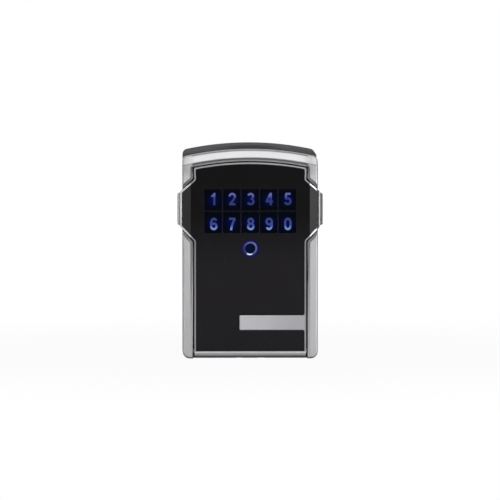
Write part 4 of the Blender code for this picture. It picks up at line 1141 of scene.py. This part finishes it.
digitStrokes = {
    # Each stroke is its points and whether it closes on itself
    "0": [(squareOval(0.31, 0.5, 0.215, 0.415, 2.4), True)],
    "2": [(arc(0.31, 0.685, 0.215, 0.235, 175, -25) + [(0.16, 0.10)], False),
          ([(0.06, 0.085), (0.57, 0.085)], False)],
    "3": [(arc(0.30, 0.715, 0.20, 0.20, 160, -90), False), (arc(0.30, 0.30, 0.225, 0.215, 90, -160), False)],
    "4": [([(0.40, 0.915), (0.09, 0.32)], False), ([(0.03, 0.30), (0.60, 0.30)], False),
          ([(0.43, 0.0), (0.43, 1.0)], False)],
    "5": [([(0.16, 0.915), (0.53, 0.915)], False), ([(0.185, 0.97), (0.135, 0.50)], False),
          (arc(0.30, 0.32, 0.225, 0.235, 140, -160), False)],
    "6": [(oval(0.32, 0.31, 0.215, 0.225), True), (arc(0.335, 0.52, 0.235, 0.395, 200, 40), False)],
    "7": [([(0.06, 0.915), (0.56, 0.915)], False),
          (bowedLine((0.53, 0.90), (0.28, 0.52), (0.22, 0.0)), False)],
    "8": [(oval(0.31, 0.72, 0.185, 0.195), True), (oval(0.31, 0.30, 0.22, 0.215), True)],
}
digitStrokes["9"] = [([(cellWidth - x, 1 - y) for x, y in points], closed)
                     for points, closed in digitStrokes["6"]]
digitOne = [(0.28, 0), (0.44, 0), (0.44, 1), (0.33, 1), (0.24, 0.87), (0.11, 0.78), (0.11, 0.63),
            (0.28, 0.72)]


def strokeOutline(points, closed, half):
    # The quads that cover a stroke of the given half width
    sides = []
    count = len(points)
    for index in range(count):
        before = points[index - 1] if closed or index else points[index]
        after = points[(index + 1) % count] if closed or index < count - 1 else points[index]
        way = Vector((after[0] - before[0], after[1] - before[1])).normalized()
        across = Vector((-way.y, way.x)) * half
        sides.append((Vector(points[index]) + across, Vector(points[index]) - across))
    pairs = list(zip(sides, sides[1:]))
    if closed:
        pairs.append((sides[-1], sides[0]))
    return [[first[0], first[1], second[1], second[0]] for first, second in pairs]


def anticlockwise(shape):
    area = sum(a[0] * b[1] - b[0] * a[1] for a, b in zip(shape, shape[1:] + shape[:1]))
    return shape if area > 0 else shape[::-1]


def makeDigit(keyName, look):
    digit = keyName[-1]
    half = look["stroke"] / look["height"] / 2
    shapes = [digitOne] if digit == "1" else [
        quad for points, closed in digitStrokes[digit] for quad in strokeOutline(points, closed, half)]
    verts = []
    faces = []
    for shape in map(anticlockwise, shapes):
        faces.append(list(range(len(verts), len(verts) + len(shape))))
        verts += [Vector(point) for point in shape]
    drawn = delaunay_2d_cdt(verts, [], faces, 0, 1e-5)
    places, triangles, fromStrokes = drawn[0], drawn[2], drawn[5]
    centre = digitCentre(keyName)
    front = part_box(keyName)[0].y
    work = bmesh.new()
    made = [work.verts.new((centre.x + (place.x - cellWidth / 2) * look["height"], front + look["sunk"],
                            centre.z + (place.y - 0.5) * look["height"])) for place in places]
    for triangle, strokes in zip(triangles, fromStrokes):
        if strokes:
            work.faces.new([made[index] for index in triangle])
    bmesh.ops.delete(work, geom=[vert for vert in work.verts if not vert.link_faces], context="VERTS")
    bmesh.ops.dissolve_limit(work, angle_limit=math.radians(1), verts=work.verts, edges=work.edges)
    raised = bmesh.ops.extrude_face_region(work, geom=list(work.faces), use_keep_orig=True)["geom"]
    bmesh.ops.translate(work, verts=[item for item in raised if isinstance(item, bmesh.types.BMVert)],
                        vec=(0, -look["sunk"] - look["proud"], 0))
    material = digitTop if centre.z > keypadMiddle else digitLow
    return placePiece("digit_" + digit, work, material, bodyOfNode[keyName])


for name in keyNames:
    makeDigit(name, digitLook)
print("digits ready")

# Threaded screws: cross recess on the small ones, hex socket and knurled head on the long ones
smallScrew = {
    "sides": 20,
    "shank": 0.9,
    "pitch": 0.55,
    "threadDepth": 0.2,
    "headHeight": 1.1,
    "dome": 0.35,
    "recessReach": 1.15,
    "recessHalfWidth": 0.27,
    "recessDepth": 0.8,
}
longScrew = {
    "sides": 48,
    "shank": 1.5,
    "pitch": 0.7,
    "threadDepth": 0.22,
    "threadLength": 11.0,
    "headHeight": 2.4,
    "socketAcross": 2.5,
    "socketDepth": 1.4,
    "knurls": 24,
    "knurlDepth": 0.12,
}


def threadRings(look, core, start, end, perTurn=5):
    # A screw thread as rings whose bulge moves round with height
    rings = []
    steps = max(2, int((end - start) / look["pitch"] * perTurn))
    for step in range(steps + 1):
        height = start + (end - start) * step / steps
        ring = []
        for index in range(look["sides"]):
            turn = index / look["sides"]
            share = (height / look["pitch"] - turn) % 1.0
            size = core + look["threadDepth"] * (1 - abs(2 * share - 1))
            ring.append((size * math.cos(2 * math.pi * turn), size * math.sin(2 * math.pi * turn), height))
        rings.append(ring)
    return rings


def crossCutter(look, top, place):
    rings = []
    for share, height in ((1.0, top + 0.05), (0.95, top - 0.1), (0.45, top - look["recessDepth"])):
        reach = look["recessReach"] * share
        half = look["recessHalfWidth"] * (0.55 + 0.45 * share)
        corners = []
        for quarter in range(4):
            angle = math.pi / 2 * quarter
            for out, aside in ((half, -half), (reach, -half), (reach, half)):
                corners.append((out * math.cos(angle) - aside * math.sin(angle),
                                out * math.sin(angle) + aside * math.cos(angle), height))
        rings.append(corners)
    return closedRings(rings, place)


def hexCutter(look, top, place):
    radius = look["socketAcross"] / 2 / math.cos(math.pi / 6)
    foot = top - look["socketDepth"]
    return closedRings(circles([(radius * 1.12, top + 0.05), (radius, top - 0.15), (radius, foot),
                                (radius * 0.3, foot - 0.45)], 6), place)


def smallRings(look, top, radius):
    core = look["shank"] - look["threadDepth"]
    neck = top - look["headHeight"]
    dome = look["dome"]
    sides = look["sides"]
    rings = circles([(0, 0.0), (core * 0.6, 0.12)], sides) + threadRings(look, core, 0.5, neck - 0.25)
    return rings + circles([
        (look["shank"], neck), (radius * 0.97, neck), (radius, neck + 0.12), (radius, top - dome - 0.1),
        (radius * 0.93, top - dome * 0.55), (radius * 0.7, top - dome * 0.15), (radius * 0.35, top), (0, top),
    ], sides)


def longRings(look, top, radius):
    shank = look["shank"]
    core = shank - look["threadDepth"]
    neck = top - look["headHeight"]
    cut = look["threadLength"]
    sides = look["sides"]
    wave = look["knurlDepth"]
    rings = circles([(0, 0.0), (core * 0.8, 0.0)], sides) + threadRings(look, core, 0.35, cut)
    rings += circles([(shank, cut + 0.3), (shank, neck), (radius - 0.25, neck)], sides)
    for inset, height in ((0.12, neck + 0.15), (0.0, neck + 0.3), (0.0, top - 0.45)):
        rings.append(circle(radius - wave - inset, height, sides, wave, look["knurls"]))
    return rings + circles([(radius - 0.15, top - 0.4), (radius - 0.4, top), (0, top)], sides)


def makeScrew(name, axis, look, ending, material, screwRings, cutter):
    # Stands on the node's own axis line, from its tip to the top of its head
    low, high = boxOf(name)
    ahead = Vector(axis)
    top = abs((high - low).dot(ahead))
    place = placeAt((low + high) / 2 - ahead * top / 2, axis)
    work = bmesh.new()
    ringSurface(work, screwRings(look, top, sorted(high - low)[1] / 2), place)
    obj = placePiece(name + ending, work, material, bodyOfNode[name], (name,))
    cutAway(obj, cutter(look, top, place))
    smoothFaces(obj.data, 38)


for name in sorted(nodes):
    if name.startswith("assembly_screw"):
        makeScrew(name, (0, 1, 0), longScrew, "_socket", darkSteel, longRings, hexCutter)
    elif "screw" in name:
        axis = (0, 0, -1) if name.startswith("strike_screw") else (0, 1, 0)
        makeScrew(name, axis, smallScrew, "_threaded", zincSteel, smallRings, crossCutter)
print("screws ready")

# The lithium cell: shrink sleeve round a crimped steel can, with its raised terminal
cellLook = {
    "sides": 48,
    "sleeve": 0.15,
    "lip": 1.1,
    "terminalRadius": 3.3,
    "terminalHeight": 1.1,
    "shoulder": 0.5,
}


def closeTube(work, sides):
    # Joins the last ring of a turned shape to its first one
    work.verts.ensure_lookup_table()
    total = len(work.verts)
    for index in range(sides):
        after = (index + 1) % sides
        work.faces.new([work.verts[total - sides + index], work.verts[total - sides + after],
                        work.verts[after], work.verts[index]])


def makeCell(look):
    low, high = boxOf("battery")
    middle = (low + high) / 2
    radius = (high.z - low.z) / 2
    top = high.x - low.x - look["terminalHeight"]
    place = placeAt((low.x, middle.y, middle.z), (1, 0, 0))
    inner = radius - look["sleeve"]
    lip = radius - look["lip"]
    sleeve = turned([
        (lip, 0.15), (lip, 0.0), (radius - 0.5, 0.0), (radius - 0.12, 0.15), (radius, 0.5),
        (radius, top * 0.5), (radius, top - 0.9), (radius - 0.15, top - 0.6), (radius - 0.15, top - 0.45),
        (radius - 0.5, top - 0.02), (lip, top - 0.02), (lip, top - 0.2), (inner - 0.3, top - 0.3),
        (inner - 0.3, 0.3),
    ], look["sides"], place)
    closeTube(sleeve, look["sides"])
    placePiece("cell_sleeve_wrap", sleeve, cellSleeve, bodyOfNode["battery"], ("battery",), 30)
    pip = look["terminalRadius"]
    tip = top + look["terminalHeight"]
    shoulder = top - look["shoulder"]
    can = turned([
        (0, 0.05), (lip - 0.05, 0.05), (lip - 0.05, 0.32), (inner - 0.35, 0.36), (inner - 0.35, top - 0.36),
        (lip - 0.05, top - 0.32), (lip - 0.05, top - 0.1), (lip - 0.6, top - 0.1), (lip - 0.8, shoulder),
        (pip + 0.6, shoulder), (pip + 0.25, top), (pip, top + 0.35), (pip - 0.1, tip - 0.2),
        (pip - 0.35, tip), (0, tip),
    ], look["sides"], place)
    placePiece("cell_can", can, zincSteel, bodyOfNode["battery"], ("battery",), 30)


makeCell(cellLook)

# The spring behind the cell: a cone of wire with a closed turn at each end
springLook = {
    "turns": 3.0,
    "closedShare": 0.12,
    "perTurn": 28,
    "wireSides": 8,
    "wire": 0.3,
    "outer": 3.6,
    "inner": 2.4,
}


def makeSpring(look):
    low, high = boxOf("battery_spring")
    middle = sum(boxOf("battery"), Vector()) / 2
    start = low.x + look["wire"]
    travel = high.x - look["wire"] - start
    steps = int(look["turns"] * look["perTurn"])
    closed = look["closedShare"]
    path = []
    for step in range(steps + 1):
        share = step / steps
        angle = 2 * math.pi * look["turns"] * share
        rise = max(0.0, min(1.0, (share - closed) / (1 - 2 * closed)))
        radius = look["outer"] + (look["inner"] - look["outer"]) * share
        path.append(Vector((start + travel * rise, middle.y + radius * math.cos(angle),
                            middle.z + radius * math.sin(angle))))
    rings = []
    for index, point in enumerate(path):
        way = (path[min(index + 1, steps)] - path[max(index - 1, 0)]).normalized()
        side = way.cross(Vector((1, 0, 0))).normalized()
        up = way.cross(side)
        rings.append([point + side * x + up * y for x, y, z in circle(look["wire"], 0, look["wireSides"])])
    work = bmesh.new()
    ringSurface(work, [[path[0]]] + rings + [[path[-1]]], Matrix.Scale(mm, 4))
    placePiece("cell_spring", work, zincSteel, bodyOfNode["battery_spring"], ("battery_spring",), 50)


makeSpring(springLook)

# The motor: a rolled can with its end cap and terminals, and a gearbox of plates, posts and wheels
motorLook = {
    "sides": 40,
    "canRadius": 4.0,
    "canLength": 13.5,
    "bossRadius": 1.3,
    "bossLength": 1.0,
    "terminalRise": 2.4,
    "terminalHalfWidth": 0.7,
    "terminalHalfThickness": 0.15,
    "plate": 0.7,
    "plateHalf": 3.7,
    "post": 0.45,
    "wheelGap": 0.15,
    "wheelThickness": 0.75,
    "toothDepth": 0.3,
    # Place across and up, outer radius in millimetres and number of teeth
    "wheels": ((-1.1, 0.9, 2.2, 22), (1.3, -0.8, 1.9, 18)),
}


def makeMotor(look):
    low, high = boxOf("lock_motor")
    middle = (low + high) / 2
    body = bodyOfNode["lock_motor"]
    boss = look["bossLength"]
    nose = look["bossRadius"]
    radius = look["canRadius"]
    end = boss + look["canLength"]
    can = turned([
        (0, 0), (nose - 0.15, 0), (nose, 0.15), (nose, boss), (radius - 0.9, boss),
        (radius - 0.9, boss + 0.12), (radius - 0.35, boss + 0.12), (radius, boss + 0.45),
        (radius, boss + 1.4), (radius - 0.12, boss + 1.5), (radius - 0.12, boss + 1.75),
        (radius, boss + 1.85), (radius, end - 0.3), (radius - 0.3, end), (0, end),
    ], look["sides"], placeAt((low.x, middle.y, middle.z), (1, 0, 0)))
    placePiece("motor_can", can, motorSteel, body, ("lock_motor",), 30)
    terminals, plates, wheels = (bmesh.new() for kind in range(3))
    wide = look["terminalHalfWidth"]
    thick = look["terminalHalfThickness"]
    for level in (middle.z - look["terminalRise"], middle.z + look["terminalRise"]):
        softBox(terminals, (low.x + 0.35, middle.y - wide, level - thick),
                (low.x + boss + 0.3, middle.y + wide, level + thick), 0.05)
    placePiece("motor_terminals", terminals, turnedBrass, body, ("lock_motor",))
    first = low.x + end
    last = high.x
    half = look["plateHalf"]
    plate = look["plate"]
    for start in (first, (first + last - plate) / 2, last - plate):
        softBox(plates, (start, middle.y - half, middle.z - half),
                (start + plate, middle.y + half, middle.z + half), 0.12)
    placePiece("gearbox_plates", plates, motorSteel, body, ("lock_motor",))
    post = look["post"]
    inset = half - post - 0.35
    length = last - first
    for sideY in (-1, 1):
        for sideZ in (-1, 1):
            turned([(0, 0.1), (post, 0.1), (post, length - 0.02), (post * 0.6, length), (0, length)], 16,
                   placeAt((first, middle.y + sideY * inset, middle.z + sideZ * inset), (1, 0, 0)), wheels)
    start = plate + look["wheelGap"]
    end = start + look["wheelThickness"]
    tooth = look["toothDepth"]
    for across, up, size, teeth in look["wheels"]:
        wheel = [circle(size - tooth, height, teeth * 4, tooth, teeth) for height in (start, end)]
        ringSurface(wheels, [circle(0, start, 1), *wheel, circle(0, end, 1)],
                    placeAt((first, middle.y + across, middle.z + up), (1, 0, 0)))
    placePiece("gearbox_wheels", wheels, turnedBrass, body, ("lock_motor",), 35)


makeMotor(motorLook)

# Parts soldered to the board, over the plain blocks of the board's own solid
boardLook = {
    "back": -21.3,
    # Place across and up and half width of each chip; place of each small part
    "chips": ((-16.0, 43.7, 3.56), (16.0, 43.7, 3.56)),
    "chipHeight": 1.26,
    "legs": 7,
    "legPitch": 0.9,
    "legHalf": 0.17,
    "small": ((-21.0, 50.0), (-19.0, 50.0), (-21.0, 53.4), (-12.4, 51.2), (-9.8, 51.2), (9.8, 50.4),
              (12.2, 50.4), (20.6, 52.0), (20.6, 55.0), (-22.0, 60.2), (-19.4, 60.2), (22.0, 60.6),
              (18.8, 66.0), (-18.4, 67.2)),
    "smallSize": (1.6, 0.45, 0.8),
}


def makeBoardParts(look):
    chips, legs, bodies, tips = (bmesh.new() for kind in range(4))
    back = look["back"]
    half = look["legHalf"]
    for x, z, reach in look["chips"]:
        softBox(chips, (x - reach, back - 0.05, z - reach),
                (x + reach, back + look["chipHeight"], z + reach), 0.12)
        for index in range(look["legs"]):
            level = z + (index - (look["legs"] - 1) / 2) * look["legPitch"]
            for side in (-1, 1):
                # A leg is a flat step out of the chip and a foot down to the board
                for near, far, low, high in ((0.0, 0.55, 0.35, 0.5), (0.4, 0.95, -0.02, 0.42)):
                    start, end = sorted(x + side * (reach + part) for part in (near, far))
                    softBox(legs, (start, back + low, level - half),
                            (end, back + high, level + half), 0.03, 1)
    long, tall, wide = look["smallSize"]
    for x, z in look["small"]:
        softBox(bodies, (x - long * 0.34, back - 0.02, z - wide / 2),
                (x + long * 0.34, back + tall * 0.92, z + wide / 2), 0.04, 1)
        for middle in (x - long * 0.4, x + long * 0.4):
            softBox(tips, (middle - long * 0.1, back - 0.02, z - wide * 0.52),
                    (middle + long * 0.1, back + tall, z + wide * 0.52), 0.04, 1)
    body = bodyOfNode["circuit_board"]
    placePiece("board_chips", chips, chipPlastic, body)
    placePiece("board_chip_legs", legs, zincSteel, body)
    placePiece("board_resistors", bodies, chipPlastic, body)
    placePiece("board_resistor_ends", tips, zincSteel, body)


makeBoardParts(boardLook)
print("inner parts ready")

# Studio
studio = {
    "floorSize": 60.0,
    "floorTone": 0.5,
    "floorDrop": 0.2 * mm,
    "shadowStart": 0.05,
    "shadowReach": 0.45,
    "shadowShare": 0.94,
    "distance": 4.0,
    "lens": 504.4,
    "sensor": 36.0,
    "cameraHeight": 0.272,
    "turn": math.radians(-1.0),
    "aimX": -0.14 * mm,
    "aimZ": 62.23 * mm,
    "lampAim": (0.0, 0.0, 0.06),
    "ambient": 0.40,
    "behind": 0.9,
    "sides": 0.32,
    "front": 0.42,
}
frontY = cadBox[0].y


def makeFloor():
    mesh = bpy.data.meshes.new("floor")
    half = studio["floorSize"] / 2
    corners = [(-half, -half, 0), (half, -half, 0), (half, half, 0), (-half, half, 0)]
    mesh.from_pydata(corners, [], [(0, 1, 2, 3)])
    floor = addObject("floor", mesh)
    floor.location.z = -studio["floorDrop"]
    material, tree, shader = newMaterial("paleFloor", {
        "Base Color": grey(studio["floorTone"]),
        "Roughness": 0.8,
        "Specular IOR Level": 0.1,
    })
    # Only the part near the box shows its shade; the rest is as white as the backdrop
    white = addNode(tree, "ShaderNodeEmission", {"Color": grey(1.0), "Strength": 1.0})
    seen = addNode(tree, "ShaderNodeLightPath").outputs["Is Camera Ray"]
    length = vectorMaths(tree, "LENGTH", objectPlace(tree))
    far = addNode(tree, "ShaderNodeMapRange", {
        0: length, "From Min": studio["shadowStart"], "From Max": studio["shadowReach"],
        "To Min": studio["shadowShare"], "To Max": 1.0}, interpolation_type="SMOOTHSTEP").outputs[0]
    blend = addNode(tree, "ShaderNodeMixShader", {
        0: product(tree, seen, far),
        1: tree.nodes["Principled BSDF"].outputs[0],
        2: white.outputs[0]})
    feed(tree, tree.nodes["Material Output"].inputs, {"Surface": blend.outputs[0]})
    mesh.materials.append(material)


def makeWorld():
    # White behind the object for the camera; gloss sees a bright wall behind and a dimmer room in front
    world = bpy.data.worlds.new("studioWorld")
    bpy.context.scene.world = world
    world.use_nodes = True
    tree = world.node_tree
    tree.nodes.clear()
    light = addNode(tree, "ShaderNodeLightPath")
    away = coordinate(tree, "Y", addNode(tree, "ShaderNodeTexCoord").outputs["Generated"])
    room = mixLevels(tree, smoothStep(tree, away, 0.25, 0.7), studio["sides"], studio["behind"])
    room = mixLevels(tree, smoothStep(tree, away, -0.35, -0.85), room, studio["front"])
    shiny = maths(tree, "MAXIMUM", light.outputs["Is Glossy Ray"], light.outputs["Is Transmission Ray"])
    level = mixLevels(tree, shiny, studio["ambient"], room)
    level = mixLevels(tree, light.outputs["Is Camera Ray"], level, 1.0)
    back = addNode(tree, "ShaderNodeBackground", {"Color": grey(1.0), "Strength": level})
    addNode(tree, "ShaderNodeOutputWorld", {"Surface": back.outputs[0]})


lamps = {
    "topFront": {"place": (0.0, -0.82, 0.64), "size": (0.9, 0.35), "power": 3.3, "colour": (1.0, 1.0, 1.0)},
    "right": {"place": (0.45, -0.80, 0.12), "size": (0.25, 0.7), "power": 4.8, "colour": (0.98, 0.98, 1.0)},
    "left": {"place": (-0.45, -0.80, 0.12), "size": (0.25, 0.7), "power": 2.2, "colour": (1.0, 0.985, 0.97)},
    "behind": {"place": (0.0, 0.55, 0.85), "size": (0.9, 0.5), "power": 1.2, "colour": (1.0, 1.0, 1.0)},
}


def aimAt(obj, target):
    obj.rotation_euler = (target - obj.location).to_track_quat("-Z", "Y").to_euler()


def makeLamp(name, values):
    data = bpy.data.lights.new(name, "AREA")
    data.shape = "RECTANGLE"
    data.size, data.size_y = values["size"]
    data.energy = values["power"]
    data.color = values["colour"]
    lamp = addObject(name, data)
    lamp.location = values["place"]
    aimAt(lamp, Vector(studio["lampAim"]))


def makeCamera():
    data = bpy.data.cameras.new("camera")
    data.sensor_width = studio["sensor"]
    data.lens = studio["lens"]
    data.clip_start = 0.1
    data.clip_end = 100.0
    camera = addObject("camera", data)
    target = Vector((studio["aimX"], frontY, studio["aimZ"]))
    camera.location = (
        target.x + studio["distance"] * math.sin(studio["turn"]),
        target.y - studio["distance"] * math.cos(studio["turn"]),
        studio["cameraHeight"],
    )
    aimAt(camera, target)
    bpy.context.scene.camera = camera


makeFloor()
makeWorld()
for name, values in lamps.items():
    makeLamp(name, values)
makeCamera()
bpy.context.scene.view_settings.view_transform = "Standard"
print("studio ready")
